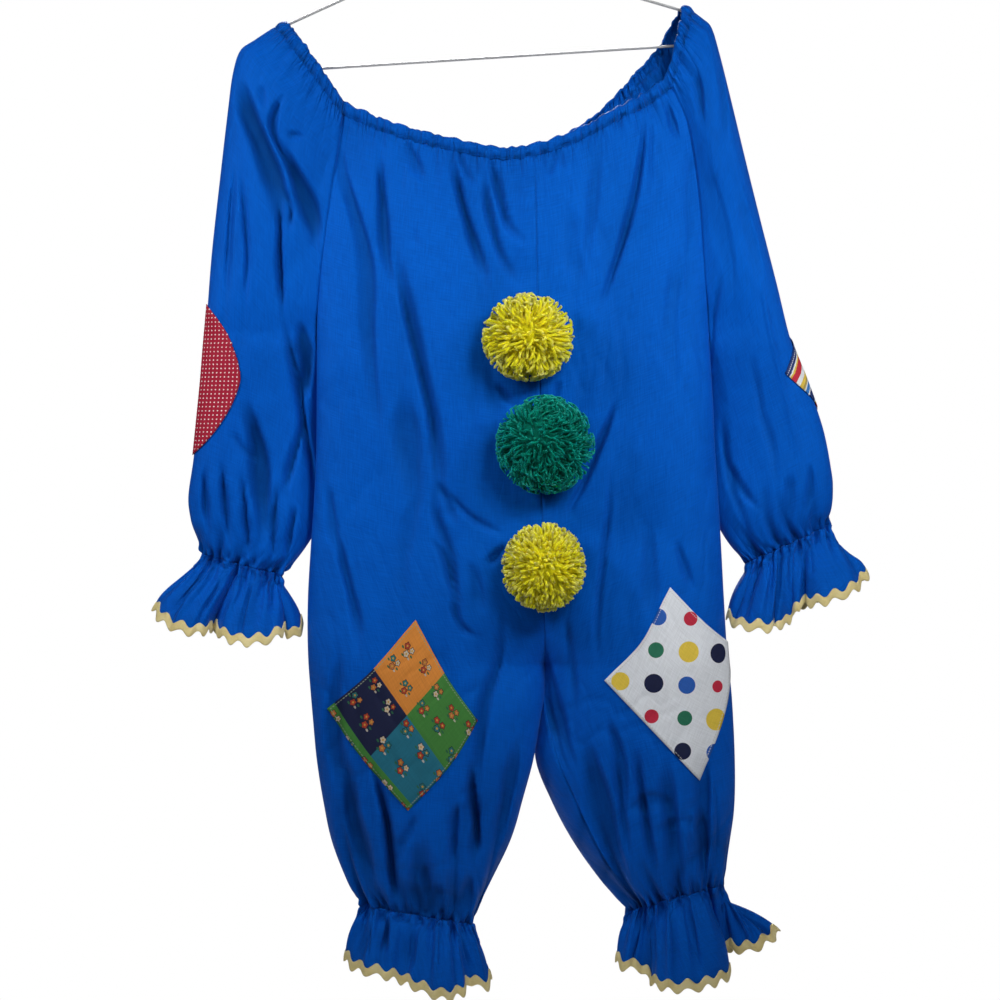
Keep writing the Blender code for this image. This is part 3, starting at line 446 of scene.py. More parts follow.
# the hem of each ruffle, once round from its left end along the front: share of the way round, and where it hangs
hems = {
    "wrist_ruffle_right": table("turn x drop y", [
        (0, -286.7, 665.1, 0), (0.04, -282.1, 672.9, -10), (0.08, -274.1, 679.8, -19), (0.13, -262.8, 684.9, -25),
        (0.18, -250.2, 687.1, -26), (0.225, -240, 686, -20), (0.25, -233.6, 683.6, -3),
        (0.265, -230.8, 685.4, -12), (0.29, -225.7, 689.6, -20), (0.33, -215.2, 694.2, -28),
        (0.37, -203.5, 695.9, -30), (0.41, -192.1, 695.5, -28), (0.445, -181.7, 693.1, -22),
        (0.465, -174.2, 688, -14), (0.475, -170.9, 686.4, -2), (0.485, -167.4, 690, -7), (0.5, -161.3, 691.1, -4),
        (0.52, -156.3, 683.2, 2), (0.56, -160.4, 679.9, 12), (0.61, -173.4, 685.5, 18), (0.66, -186.8, 692.6, 14),
        (0.71, -200, 692.9, 22), (0.76, -214, 688.2, 16), (0.81, -229, 687.5, 23), (0.86, -244, 681.9, 17),
        (0.91, -261.4, 678.4, 20), (0.955, -277, 671.8, 12)]),
    "wrist_ruffle_left": table("turn x drop y", [
        (0, 229, 672.3, 0), (0.035, 232, 678.3, -10), (0.08, 241.2, 682, -20), (0.13, 252.3, 683.5, -27),
        (0.18, 263.7, 683.4, -29), (0.225, 274, 680.5, -24), (0.255, 281.9, 678.1, -14), (0.27, 284.8, 672.8, -12),
        (0.295, 287.9, 669.1, -17), (0.32, 292.4, 667.3, -17), (0.34, 295.6, 662.1, -11), (0.36, 299.8, 661.6, -14),
        (0.4, 310, 660.9, -21), (0.44, 323.3, 656.4, -22), (0.475, 336.3, 651.2, -17), (0.5, 346, 644.2, -9),
        (0.525, 352.4, 635.4, 0), (0.56, 348.1, 638.3, 11), (0.61, 336.2, 646.6, 19), (0.66, 323.1, 652.9, 14),
        (0.71, 311.1, 657.6, 22), (0.76, 297, 663.8, 16), (0.81, 283.9, 669.4, 22), (0.86, 269, 672.8, 16),
        (0.91, 254.8, 675.6, 20), (0.955, 239.8, 674.5, 12)]),
    "ankle_ruffle_right": table("turn x drop y", [
        (0, -115.6, 979.2, 0), (0.03, -111.7, 985.2, -9), (0.07, -102.3, 989.4, -18), (0.12, -90.5, 991.3, -24),
        (0.16, -78.9, 994.3, -22), (0.2, -68.3, 997.4, -19), (0.24, -57.5, 1001.3, -23), (0.28, -46.6, 1006, -28),
        (0.32, -35.9, 1009.9, -32), (0.355, -26.1, 1012.1, -32), (0.385, -16.3, 1010.6, -27),
        (0.41, -9.2, 1007.1, -20), (0.425, -6.6, 1001, -12), (0.44, -3.1, 1001.4, -9), (0.47, 5.9, 1005.6, -8),
        (0.495, 12.2, 1005.7, -4), (0.515, 14.8, 999.3, 2), (0.55, 11.2, 996.1, 12), (0.6, -0.6, 1000.6, 19),
        (0.65, -13.2, 1005.5, 15), (0.7, -26.9, 1009.3, 23), (0.75, -41.3, 1004, 17), (0.8, -55.9, 1000.4, 24),
        (0.85, -71.1, 994.9, 17), (0.9, -86.7, 991.8, 21), (0.95, -102.6, 986.1, 12)]),
    "ankle_ruffle_left": table("turn x drop y", [
        (0, 128.3, 980.4, 2), (0.03, 130.7, 986.4, -7), (0.06, 136.8, 987.5, -12), (0.09, 144, 988.4, -12),
        (0.115, 150.4, 990.6, -9), (0.13, 153, 995.6, -12), (0.16, 158, 999.9, -20), (0.2, 166.6, 1002.4, -28),
        (0.24, 177.1, 1004.5, -32), (0.262, 187.7, 1004.4, -33), (0.297, 199.4, 1003.3, -31),
        (0.33, 210.4, 1000.7, -27), (0.355, 220.6, 997.2, -20), (0.372, 228.3, 993.8, -12), (0.385, 227, 986.8, -4),
        (0.398, 221.1, 973.3, 3), (0.41, 218.7, 966.6, 7), (0.43, 222.2, 969.1, 6), (0.47, 231, 972.4, 3),
        (0.505, 240.8, 974.2, 0), (0.54, 250.5, 972.2, -2), (0.575, 260.5, 967.4, -1), (0.605, 267.9, 963.2, 2),
        (0.63, 271.8, 958.3, 6), (0.66, 265.3, 955.8, 15), (0.71, 249.5, 965.7, 22), (0.76, 231.1, 974.3, 18),
        (0.81, 211.6, 984.2, 25), (0.86, 190.4, 989.8, 19), (0.91, 167.9, 992, 22), (0.955, 145.8, 987.2, 13)]),
}


# the cloth's own surfaces: a place for each share across and drop

basePoints = {}       # each panel's smooth places
finePoints = {}       # the same with folds and gathers
baseNormals = {}
panelShares = {}
panelGrid = {front: (108, 264), back: (64, 160)}  # columns and rows of the front and back panels
sleeveGrid = (128, 168)
clothWall = 0.7


def closedShare(drop):
    # 0 where both legs still share one body, 1 where each leg is a tube
    return np.clip((drop - crotch["starts"]) / (crotch["ends"] - crotch["starts"]), 0.001, 1)


def acrossShare(share, closed):
    # how far across a share of the way round lies
    return (1 - closed) * np.sin(share * math.pi / 2) + closed * (1 - np.cos(share * math.pi)) / 2


def bodyShare(side, x, drop):
    # the share across a panel at which it reaches x
    closed = closedShare(drop)
    inner = lookUp(outline, side + "Inner", drop)
    outer = lookUp(outline, side + "Side", drop)
    target = np.clip((x - inner) / (outer - inner), 0, 1)
    low = np.zeros_like(target)
    high = np.ones_like(target)
    for _ in range(26):
        share = (low + high) / 2
        beyond = acrossShare(share, closed) > target
        high = np.where(beyond, share, high)
        low = np.where(beyond, low, share)
    return (low + high) / 2


def body(side, sheet, share, drop):
    # share runs from the centre or inseam, 0, to the side, 1; below 0 the back wraps to the front
    share = np.asarray(share, dtype=float)
    drop = np.asarray(drop, dtype=float)
    sheet = np.where(share < 0, -sheet, sheet)
    closed = closedShare(drop)
    inner = lookUp(outline, side + "Inner", drop)
    outer = lookUp(outline, side + "Side", drop)
    inner = inner + np.sign(outer - inner) * seamHalf
    u = acrossShare(np.abs(share), closed)
    x = inner + (outer - inner) * u
    fullest = closed / 2
    beyond = (u - fullest) / (1 - fullest)
    within = (fullest - u) / fullest
    power = lookUp(depth, "power", drop)
    swell = np.where(u >= fullest, root(1 - beyond ** 2, power), root(1 - (closed * within) ** 2))
    sideHalf = np.maximum(lookUp(depth, "sideHalf", drop) - 0.5, edgeHalf)
    reach = np.where(sheet < 0, lookUp(depth, "front", drop), lookUp(depth, "back", drop))
    shiftShare = np.clip((drop - legShift["starts"]) / (legShift["ends"] - legShift["starts"]), 0, 1)
    middle = lookUp(depth, "foldY", drop) * u ** 2 + legShift[side] * shiftShare * (1 - u) ** 2
    y = middle + sheet * (sideHalf + (reach - sideHalf) * swell)
    return np.stack([x, y, -drop], axis=-1)


def panelPlaces(side, sheet, across, down):
    # where a panel's own grid lies: the share across the body and the drop
    neck = frontNeck if sheet == front else backNeck
    top = np.full_like(across, 240.0)
    for _ in range(8):
        top = lookUp(neck, "drop", body(side, sheet, across, top)[..., 0])
    innerEnd, sideEnd = legEnd[side]
    turn = inseamTurn["share"][-1] if side == "left" else 0.0
    turn = math.acos(1 - 2 * turn) / math.pi * -sheet
    bottomShare = turn + (1 - turn) * across
    bottom = innerEnd + (sideEnd - innerEnd) * (1 - np.cos(bottomShare * math.pi)) / 2
    drop = top + (bottom - top) * down
    turn = lookUp(inseamTurn, "share", drop) if side == "left" else np.zeros_like(drop)
    start = np.arccos(1 - 2 * np.clip(turn, 0, 1)) / math.pi * -sheet
    return start + (1 - start) * across, drop


def sideEdge(name, drop):
    # x and y of a panel's side edge at a drop
    edge = basePoints[name][:, -1]
    return np.interp(drop, -edge[:, 2], edge[:, 0]), np.interp(drop, -edge[:, 2], edge[:, 1])


# rows of the sleeves' table: where the raglan opening becomes a tube, and where the edge leaves the panels'
sleeveTube = {"closes": (7.6, 9.0), "leaves": (6.6, 8.1), "joinedFrom": 8.4, "raglanGap": 0.06}


def sleevePlaces(side, across, down):
    # across runs from the front raglan edge, 0, round the outer fold, a half, to the back edge, 1
    rows = sleeveRows[side]
    places = np.arange(len(rows["half"]), dtype=float)
    row = down * places[-1]
    roundShare = across * 2
    onBack = roundShare > 1
    lap = np.where(onBack, 2 - roundShare, roundShare)
    value = {name: smooth(places, column, row) for name, column in rows.items()}
    innerDrop = np.where(onBack, value["backDrop"], value["frontDrop"])
    closed = ease(row, *sleeveTube["closes"])
    u = acrossShare(lap, closed)
    frontX, frontY = sideEdge("front_" + side, value["frontDrop"])
    backX, backY = sideEdge("back_" + side, value["backDrop"])
    openHalf = edgeHalf * (row < sleeveTube["joinedFrom"])
    edgeX = np.where(onBack, backX, frontX) + sides[side] * sleeveTube["raglanGap"]
    innerX = np.where(innerDrop < underarmDrop, edgeX, value["innerX"])
    leaving = ease(row, *sleeveTube["leaves"])
    innerFront = frontY + (value["innerY"] - openHalf - frontY) * leaving
    innerBack = backY + (value["innerY"] + openHalf - backY) * leaving
    innerMid = (innerFront + innerBack) / 2
    innerHalf = (innerBack - innerFront) / 2
    x = innerX + (value["outerX"] - innerX) * u
    drop = innerDrop + (value["outerDrop"] - innerDrop) * u
    bulge = (1 - closed) * 2 * u * root(1 - u) + closed * 2 * root(u * (1 - u))
    swell = innerHalf * root(1 - u ** 3) + value["half"] * bulge
    middle = innerMid + (value["outerY"] - innerMid) * u
    y = middle + np.where(onBack, 1, -1) * swell
    return np.stack([x, y, -drop], axis=-1)


for side, sheet, name in panels:
    across, down = gridShares(*panelGrid[sheet])
    share, drop = panelPlaces(side, sheet, across, down)
    panelShares[name] = (share, drop, across)
    basePoints[name] = body(side, sheet, share, drop)
sleeveAcross, sleeveDown = gridShares(*sleeveGrid)
for side in sides:
    basePoints["sleeve_" + side] = sleevePlaces(side, sleeveAcross, sleeveDown)
print("surfaces laid out")


# folds, gathers and wrinkles, as heights out of the cloth

foldShape = {
    "gain": 1.8,              # over the depths in the tables
    "lean": 0.3,              # a fold whose row gives none
    "room": 3,                # how many half widths round a fold are worked out
    "width": (0.45, 0.75),    # the half width at the ends, and what it gains by the middle
    "floor": 0.28,            # how much of it is flat
    "leastWall": 2.2,
    "steepWall": (0.75, 0.6),   # its width by the half width, and what the lean takes away
    "gentleWall": (1.1, 1.0),   # its width, and what the lean adds
    "gentleCurve": 1.35,
    "fadeIn": 0.30,           # shares of the fold's length
    "fadeOut": 0.42,
}


def foldHeight(x, drop, folds):
    # valleys that run through the folds' points and thin out at both ends; a fold's steep wall is on its right,
    # or on its left where its fourth value is below 0
    height = np.zeros_like(x)
    for width, deep, points, *skew in folds:
        skew = skew[0] if skew else foldShape["lean"]
        xs, drops = np.array(points, dtype=float).T
        run = np.concatenate([[0], np.cumsum(np.hypot(np.diff(xs), np.diff(drops)))])
        fine = np.linspace(0, run[-1], 4 * len(points))
        lineX = smooth(run, xs, fine)
        lineDrop = smooth(run, drops, fine)
        room = width * foldShape["room"]
        near = ((x > lineX.min() - room) & (x < lineX.max() + room)
                & (drop > lineDrop.min() - room) & (drop < lineDrop.max() + room))
        if not near.any():
            continue
        px = x[near]
        pd = drop[near]
        best = np.full(px.shape, 1e9)
        share = np.zeros(px.shape)
        toRight = np.ones(px.shape)
        for i in range(len(fine) - 1):
            stepX = lineX[i + 1] - lineX[i]
            stepDrop = lineDrop[i + 1] - lineDrop[i]
            t = np.clip(((px - lineX[i]) * stepX + (pd - lineDrop[i]) * stepDrop)
                        / max(stepX ** 2 + stepDrop ** 2, 1e-6), 0, 1)
            away = np.hypot(px - lineX[i] - stepX * t, pd - lineDrop[i] - stepDrop * t)
            closer = away < best
            best = np.where(closer, away, best)
            share = np.where(closer, (i + t) / (len(fine) - 1), share)
            toRight = np.where(closer, np.sign((px - lineX[i]) * stepDrop - (pd - lineDrop[i]) * stepX), toRight)
        wobble = 0.88 + 0.12 * np.sin(share * 11.0 + width * 3 + deep)
        middleShare = np.sin(math.pi * np.clip(share * 0.94 + 0.03, 0, 1)) ** 0.75
        along = ease(share, -0.01, foldShape["fadeIn"]) * ease(1 - share, -0.01, foldShape["fadeOut"])
        swell = width * (foldShape["width"][0] + foldShape["width"][1] * middleShare) * wobble
        steep = toRight * skew > 0
        steepWall = swell * (foldShape["steepWall"][0] - foldShape["steepWall"][1] * abs(skew))
        gentleWall = swell * (foldShape["gentleWall"][0] + foldShape["gentleWall"][1] * abs(skew))
        wall = np.where(steep, np.maximum(foldShape["leastWall"], steepWall), gentleWall)
        inside = ease((foldShape["floor"] * swell + wall - best) / wall, 0.0, 1.0)
        inside = inside ** np.where(steep, 1.0, foldShape["gentleCurve"])
        height[near] -= foldShape["gain"] * deep * along * inside
    return height


grainSizes = [(52, 170, 2.3), (22, 75, 0.7), (9, 26, 0.25)]  # size across, size down, height
creaseSizes = [(34, 120, 0.08, 1.5), (20, 70, -0.12, 0.8), (26, 30, 0.5, 0.5)]  # the same, with a lean, and depth
legGrain = {"drops": (640.0, 820.0), "wide": 0.4, "thin": 2.0}  # how much more uneven the legs' cloth is


def noiseAt(across, layer, down):
    values = [noise.noise((a, layer, b)) for a, b in zip(across.ravel(), down.ravel())]
    return np.array(values).reshape(across.shape)


def noiseHeight(x, drop, sheet, sizes):
    # wide and small unevenness
    return sum(noiseAt(x / acrossSize, sheet * 3.7 + k * 9.1, drop / downSize) * high
               for k, (acrossSize, downSize, high) in enumerate(sizes))


def creaseHeight(x, drop, sheet, sizes):
    # thin uneven creases that mostly run down the cloth
    height = np.zeros_like(x)
    for k, (acrossSize, downSize, lean, deep) in enumerate(sizes):
        across = (x + lean * drop) / acrossSize
        down = drop / downSize
        values = noiseAt(across, sheet * 5.3 + k * 7.7, down)
        strength = noiseAt(across * 0.23 + 31.0, sheet * 2.9 + k, down * 0.6)
        ridge = np.clip(1 - np.abs(values) * 3.2, 0, 1) ** 2
        height -= ridge * np.clip(0.35 + strength * 2.2, 0, 1) * deep
    return height


def clothGrain(x, drop, sheet):
    low = ease(drop, *legGrain["drops"])
    return (noiseHeight(x, drop, sheet, grainSizes) * (1 + legGrain["wide"] * low)
            + creaseHeight(x, drop, sheet, creaseSizes) * (1 + legGrain["thin"] * low))


def gatherWave(turn, count, seed):
    # uneven pleats round a closed edge, -1 to 1
    wander = (1.5 * np.sin(2 * math.pi * turn * 3 + seed) + 1.3 * np.sin(2 * math.pi * turn * 7 + 2.3 * seed)
              + 0.9 * np.sin(2 * math.pi * turn * 13 + 4.1 * seed))
    size = 0.72 + 0.28 * np.sin(2 * math.pi * turn * 11 + 1.7 * seed)
    return np.cos(2 * math.pi * turn * count + wander) * size


def chance(seed, k):
    return (math.sin(seed * 12.9898 + k * 78.233) * 43758.5453) % 1.0


# count round the edge, how far the grooves reach, their depth, and their half width as a share of the round
neckPuckers = {"fine": {"count": 96, "reach": 17.0, "deep": 1.5, "wide": 0.0026},
               "long": {"count": 30, "reach": 60.0, "deep": 1.5, "wide": 0.0040}}
anklePuckers = {"fine": {"count": 30, "reach": 24.0, "deep": 2.6, "wide": 0.0085},
                "long": {"count": 12, "reach": 80.0, "deep": 5.2, "wide": 0.0200}}
wristPuckers = {"fine": {"count": 26, "reach": 22.0, "deep": 2.6, "wide": 0.0090},
                "long": {"count": 11, "reach": 52.0, "deep": 4.6, "wide": 0.0220}}
elastic = {"high": 2.5, "reach": 8.0, "pull": 1.6, "waves": 9, "fewest": 13, "spread": 20}


def puckers(turn, away, look, seed):
    # short grooves from an elastic edge, each with its own place, length, lean and depth
    total = np.zeros(np.broadcast(turn, away).shape)
    for k in range(look["count"]):
        middle = (k + 0.85 * chance(seed, k)) / look["count"]
        length = look["reach"] * (0.35 + 1.3 * chance(seed + 1, k) ** 1.6)
        deep = look["deep"] * (0.35 + 0.9 * chance(seed + 2, k))
        wide = look["wide"] * (0.7 + 0.7 * chance(seed + 3, k))
        lean = look["wide"] * 3.0 * (chance(seed + 4, k) - 0.5)
        gap = roundGap(turn - middle - lean * away / length)
        total -= deep * np.exp(-(gap / wide) ** 2) * ease(length - away, 0.0, length * 0.8)
    return total


def gathers(turn, away, sizes, seed):
    return sum(puckers(turn, away, look, seed + 5 * k) for k, look in enumerate(sizes.values()))


def elasticPuff(turn, away, seed):
    # uneven small puffs on both sides of an elastic; away counts up on the frill and down on the leg or sleeve
    total = 0.0
    for k in range(elastic["waves"]):
        count = elastic["fewest"] + int(elastic["spread"] * chance(seed, k))
        lean = 0.9 * (chance(seed + 1, k) - 0.5)
        total = total + np.cos(2 * math.pi * (turn * count + chance(seed + 2, k)) + lean * away)
    puff = elastic["high"] * total / math.sqrt(elastic["waves"])
    return (puff - elastic["pull"]) * np.exp(-(away / elastic["reach"]) ** 2)


def raised(base, out, folds, gathered):
    # folds stand front to back, so they never pull a side edge in; gathers stand square to the cloth
    lean = np.sign(out[..., 1]) * np.abs(out[..., 1]) ** 0.7
    places = base + out * np.asarray(gathered)[..., None]
    places[..., 1] += lean * folds
    return places


def foldShadeOf(folds):
    # painted shade: how deep in a fold the cloth lies, 0 to 1, which darkens its colour
    return np.clip((-folds - 0.3) / 9.5, 0, 1)


# meshes

finishes = {}         # the material of each slot
weldWithin = 0.00005


def gridMesh(name, points, shirr, paintedShade, laid):
    # a flat grid, bent to the points; its cloth map is in metres along and down the cloth,
    # its shirr map in metres round the nearest elastic and away from it
    rowCount, columnCount = points.shape[:2]
    u = distances(laid, 1)
    u = u - u[:, columnCount // 2][:, None]
    v = distances(laid, 0)
    sheet = bmesh.new()
    bmesh.ops.create_grid(sheet, x_segments=columnCount - 1, y_segments=rowCount - 1, size=1)
    clothLayer = sheet.loops.layers.uv.new("cloth")
    shirrLayer = sheet.loops.layers.uv.new("shirr")
    # painted shade at each point: how much the colour darkens in a fold or pucker
    sunk = sheet.verts.layers.float.new("paintedShade")
    seat = {}
    for corner in sheet.verts:
        j = round((corner.co.x + 1) / 2 * (columnCount - 1))
        i = round((1 - corner.co.y) / 2 * (rowCount - 1))
        seat[corner.index] = (i, j)
        corner.co = points[i, j] * metre
        corner[sunk] = 0.0 if paintedShade is None else float(paintedShade[i, j])
    for face in sheet.faces:
        face.smooth = True
        for loop in face.loops:
            i, j = seat[loop.vert.index]
            loop[clothLayer].uv = (u[i, j] * metre, v[i, j] * metre)
            loop[shirrLayer].uv = (0.0, 1.0) if shirr is None else (shirr[i, j, 0] * metre, shirr[i, j, 1] * metre)
    bmesh.ops.remove_doubles(sheet, verts=sheet.verts, dist=weldWithin)
    mesh = bpy.data.meshes.new(name)
    sheet.to_mesh(mesh)
    sheet.free()
    return mesh


def addPiece(name, node, mesh, slot):
    item = bpy.data.objects.new(name, mesh)
    suit.objects.link(item)
    mesh.materials.append(finishes[slot])
    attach(item, "root")
    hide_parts(node)
    return item


def addCloth(name, node, points, wall, slot, outward, shirr=None, paintedShade=None, laid=None):
    # outward holds the points' own directions out of the suit, so that the faces can be turned to them
    mesh = gridMesh(name, points, shirr, paintedShade, points if laid is None else laid)
    across = facing(points)
    if np.sum(across * outward) < 0:
        across = -across
    middle = (points.shape[0] // 2, points.shape[1] // 3)
    probe = Vector((points[middle] * metre).tolist())
    nearest = min(mesh.polygons, key=lambda face: (face.center - probe).length_squared)
    if nearest.normal.dot(Vector(across[middle].tolist())) < 0:
        mesh.flip_normals()
    item = addPiece(name, node, mesh, slot)
    thicken = item.modifiers.new("wall", "SOLIDIFY")
    thicken.thickness = wall * metre
    thicken.offset = -1.0
    return item


# finishes

def newFinish(slot, name, roughness):
    finish = bpy.data.materials.new(name)
    finish.use_nodes = True
    finishes[slot] = finish
    shader = finish.node_tree.nodes["Principled BSDF"]
    shader.inputs["Roughness"].default_value = roughness
    return finish.node_tree, shader


def setAll(shader, values):
    for name, value in values.items():
        shader.inputs[name].default_value = value


def maths(tree, kind, a, b=None, c=None):
    step = tree.nodes.new("ShaderNodeMath")
    step.operation = kind
    for i, value in enumerate((a, b, c)):
        if isinstance(value, (int, float)):
            step.inputs[i].default_value = value
        elif value is not None:
            tree.links.new(value, step.inputs[i])
    return step.outputs["Value"]


def sumOf(kind):
    return lambda tree, *values: maths(tree, kind, *values)


times, plus, minus, timesPlus, least, below, above = [sumOf(kind) for kind in (
    "MULTIPLY", "ADD", "SUBTRACT", "MULTIPLY_ADD", "MINIMUM", "LESS_THAN", "GREATER_THAN")]


def lengthOf(tree, a, b):
    return maths(tree, "SQRT", plus(tree, times(tree, a, a), times(tree, b, b)))


def splitMap(tree, vector):
    split = tree.nodes.new("ShaderNodeSeparateXYZ")
    tree.links.new(vector, split.inputs["Vector"])
    return split.outputs["X"], split.outputs["Y"]


def uvMap(tree, name):
    where = tree.nodes.new("ShaderNodeUVMap")
    where.uv_map = name
    return where.outputs["UV"]


def attribute(tree, name):
    where = tree.nodes.new("ShaderNodeAttribute")
    where.attribute_name = name
    return where.outputs["Fac"]


def stretch(tree, vector, scale, turn=0.0):
    fit = tree.nodes.new("ShaderNodeMapping")
    fit.inputs["Scale"].default_value = scale
    fit.inputs["Rotation"].default_value = (0, 0, turn)
    tree.links.new(vector, fit.inputs["Vector"])
    return fit.outputs["Vector"]


def mapping(tree, scale=(1, 1, 1), turn=0.0, place="UV"):
    where = tree.nodes.new("ShaderNodeTexCoord")
    return stretch(tree, where.outputs[place], scale, turn)


def speckle(tree, vector, scale, detail):
    grain = tree.nodes.new("ShaderNodeTexNoise")
    grain.inputs["Scale"].default_value = scale
    grain.inputs["Detail"].default_value = detail
    tree.links.new(vector, grain.inputs["Vector"])
    return grain.outputs["Fac"]


def solidSpeckle(tree, scale, detail):
    # unevenness through the whole piece, whatever its maps
    return speckle(tree, mapping(tree, place="Object"), scale, detail)


def ramp(tree, value, stops, kind="LINEAR"):
    band = tree.nodes.new("ShaderNodeValToRGB")
    band.color_ramp.interpolation = kind
    for i, (place, colour) in enumerate(stops):
        stop = band.color_ramp.elements[i] if i < 2 else band.color_ramp.elements.new(place)
        stop.position = place
        stop.color = (*colour, 1)
    tree.links.new(value, band.inputs["Fac"])
    return band.outputs["Color"]


def blend(tree, share, low, high, kind="MIX"):
    mix = tree.nodes.new("ShaderNodeMix")
    mix.data_type = "RGBA"
    mix.blend_type = kind
    for socket, value in ((mix.inputs["Factor"], share), (mix.inputs["A"], low), (mix.inputs["B"], high)):
        if isinstance(value, (int, float)):
            socket.default_value = value
        elif isinstance(value, tuple):
            socket.default_value = (*value, 1)
        else:
            tree.links.new(value, socket)
    return mix.outputs["Result"]


def bump(tree, shader, height, strength, distance):
    relief = tree.nodes.new("ShaderNodeBump")
    relief.inputs["Strength"].default_value = strength
    relief.inputs["Distance"].default_value = distance
    tree.links.new(height, relief.inputs["Height"])
    tree.links.new(relief.outputs["Normal"], shader.inputs["Normal"])


slubSizes = [(900, 60, 1), (60, 900, 1)]  # how fine a slub is across and along its thread, for warp and weft


def weave(tree, threads):
    # plain weave: warp and weft threads as a height from 0 to 1, and their slubs
    warp, weft = [maths(tree, "SINE", times(tree, place, threads * 2 * math.pi))
                  for place in splitMap(tree, mapping(tree))]
    cross = timesPlus(tree, times(tree, warp, weft), 0.5, 0.5)
    along, athwart = [speckle(tree, mapping(tree, size), 1.0, 1.0) for size in slubSizes]
    return cross, times(tree, plus(tree, along, athwart), 0.5)


blueCloth = {
    "deep": (0.0004, 0.060, 0.375),
    "light": (0.0012, 0.096, 0.535),
    "threads": 1800,          # threads in a metre
    "grain": 2.3,             # how far the slubs move the colour
    "worn": 9.0,              # how many uneven patches lie in a metre
    "weaveDepth": 0.16,
    "weaveCross": 0.4,        # how much of it the crossing threads are
    "roughness": 0.5,
    "sheen": 0.08,
    "sheenColour": (0.30, 0.55, 1.0),
    "sheenRoughness": 0.45,
    "gloss": 0.4,
    "glossColour": (0.03, 0.38, 1.0),
    "paintedShade": 0.55,           # how much the painted shade darkens the bottom of a fold
    # relief: scale across and down in a metre, depth, and how far from an elastic it fades, in metres
    "crumple": [(34, 11, 0.38), (95, 38, 0.05)],
    "crumpleLean": 0.12,
    "crumpleThin": 3.6,
    "shirr": [(150, 26, 1.5, 0.011), (64, 9, 1.2, 0.034)],
    "shirrThin": 3.0,
}


def valleys(tree, vector, thin):
    # thin grooves where a noise crosses its middle, 0 to 1
    signed = timesPlus(tree, speckle(tree, vector, 1.0, 1.5), 2.0, -1.0)
    groove = minus(tree, 1.0, times(tree, maths(tree, "ABSOLUTE", signed), thin))
    return maths(tree, "POWER", maths(tree, "MAXIMUM", groove, 0.0), 2.0)


def clothHeight(tree, total):
    # puckers by the elastics and crumples over the whole cloth, added to the weave
    shirr = uvMap(tree, "shirr")
    _, away = splitMap(tree, shirr)
    for across, down, deep, reach in blueCloth["shirr"]:
        fade = maths(tree, "EXPONENT", times(tree, away, -1.0 / reach))
        groove = valleys(tree, stretch(tree, shirr, (across, down, 1)), blueCloth["shirrThin"])
        total = timesPlus(tree, times(tree, groove, fade), -deep, total)
    for across, down, deep in blueCloth["crumple"]:
        groove = valleys(tree, mapping(tree, (across, down, 1), blueCloth["crumpleLean"]), blueCloth["crumpleThin"])
        total = timesPlus(tree, groove, -deep, total)
    return total


def makeBlueCloth():
    tree, shader = newFinish("blue_broadcloth", "blue_broadcloth", blueCloth["roughness"])
    cross, slub = weave(tree, blueCloth["threads"])
    worn = solidSpeckle(tree, blueCloth["worn"], 3.0)
    tone = timesPlus(tree, minus(tree, slub, 0.5), blueCloth["grain"], worn)
    colour = blend(tree, tone, blueCloth["deep"], blueCloth["light"])
    # painted shade: the colour darkens where the cloth lies deep in a fold or pucker, and along the casing's stitching
    shade = timesPlus(tree, attribute(tree, "paintedShade"), -blueCloth["paintedShade"], 1.0)
    tree.links.new(blend(tree, 1.0, colour, shade, "MULTIPLY"), shader.inputs["Base Color"])
    setAll(shader, {"Sheen Weight": blueCloth["sheen"], "Sheen Tint": (*blueCloth["sheenColour"], 1),
                    "Sheen Roughness": blueCloth["sheenRoughness"], "Specular IOR Level": blueCloth["gloss"],
                    "Specular Tint": (*blueCloth["glossColour"], 1)})
    fine = times(tree, plus(tree, times(tree, cross, blueCloth["weaveCross"]), slub), blueCloth["weaveDepth"])
    bump(tree, shader, clothHeight(tree, fine), 1.0, metre)


makeBlueCloth()
print("blue cloth ready")


# the four panels

backFolds = [
    (7, 3.4, [(-112, 250), (-104, 330), (-92, 420), (-84, 520)]),
    (5, 3.2, [(-62, 262), (-52, 330), (-46, 410), (-30, 500)]),
    (5, 3.6, [(-20, 272), (-10, 330), (10, 400), (28, 452)]),
    (4, 2.6, [(20, 274), (26, 320), (34, 372)]),
    (5, 3.6, [(96, 258), (92, 330), (80, 410), (70, 470)]),
    (5, 3.0, [(132, 222), (134, 300), (124, 390), (116, 470)]),
    (6, 3.0, [(168, 250), (164, 340), (168, 430)]),
    (5, 3.2, [(-20, 560), (-8, 610), (14, 662), (40, 700)]),
    (5, 3.0, [(130, 560), (118, 610), (98, 660), (76, 700)]),
    (4, 2.4, [(-60, 590), (-40, 640), (-10, 690)]),
    (4, 2.4, [(168, 600), (150, 650), (118, 700)]),
    (6, 2.8, [(-104, 620), (-98, 700), (-86, 780)]),
    (6, 2.8, [(190, 640), (184, 720), (176, 800)]),
    (6, 3.0, [(-36, 760), (-44, 830), (-48, 920)]),
    (5, 2.6, [(-92, 800), (-84, 860), (-74, 930)]),
    (6, 3.0, [(120, 780), (140, 850), (158, 925)]),
    (5, 2.6, [(190, 790), (194, 850), (192, 920)]),
    (5, 2.2, [(60, 300), (62, 420), (60, 540)]),
]
panelFolds = {front: frontFolds, back: backFolds}
seamRipple = {"high": 0.22, "reach": 7.0, "length": 9.5}
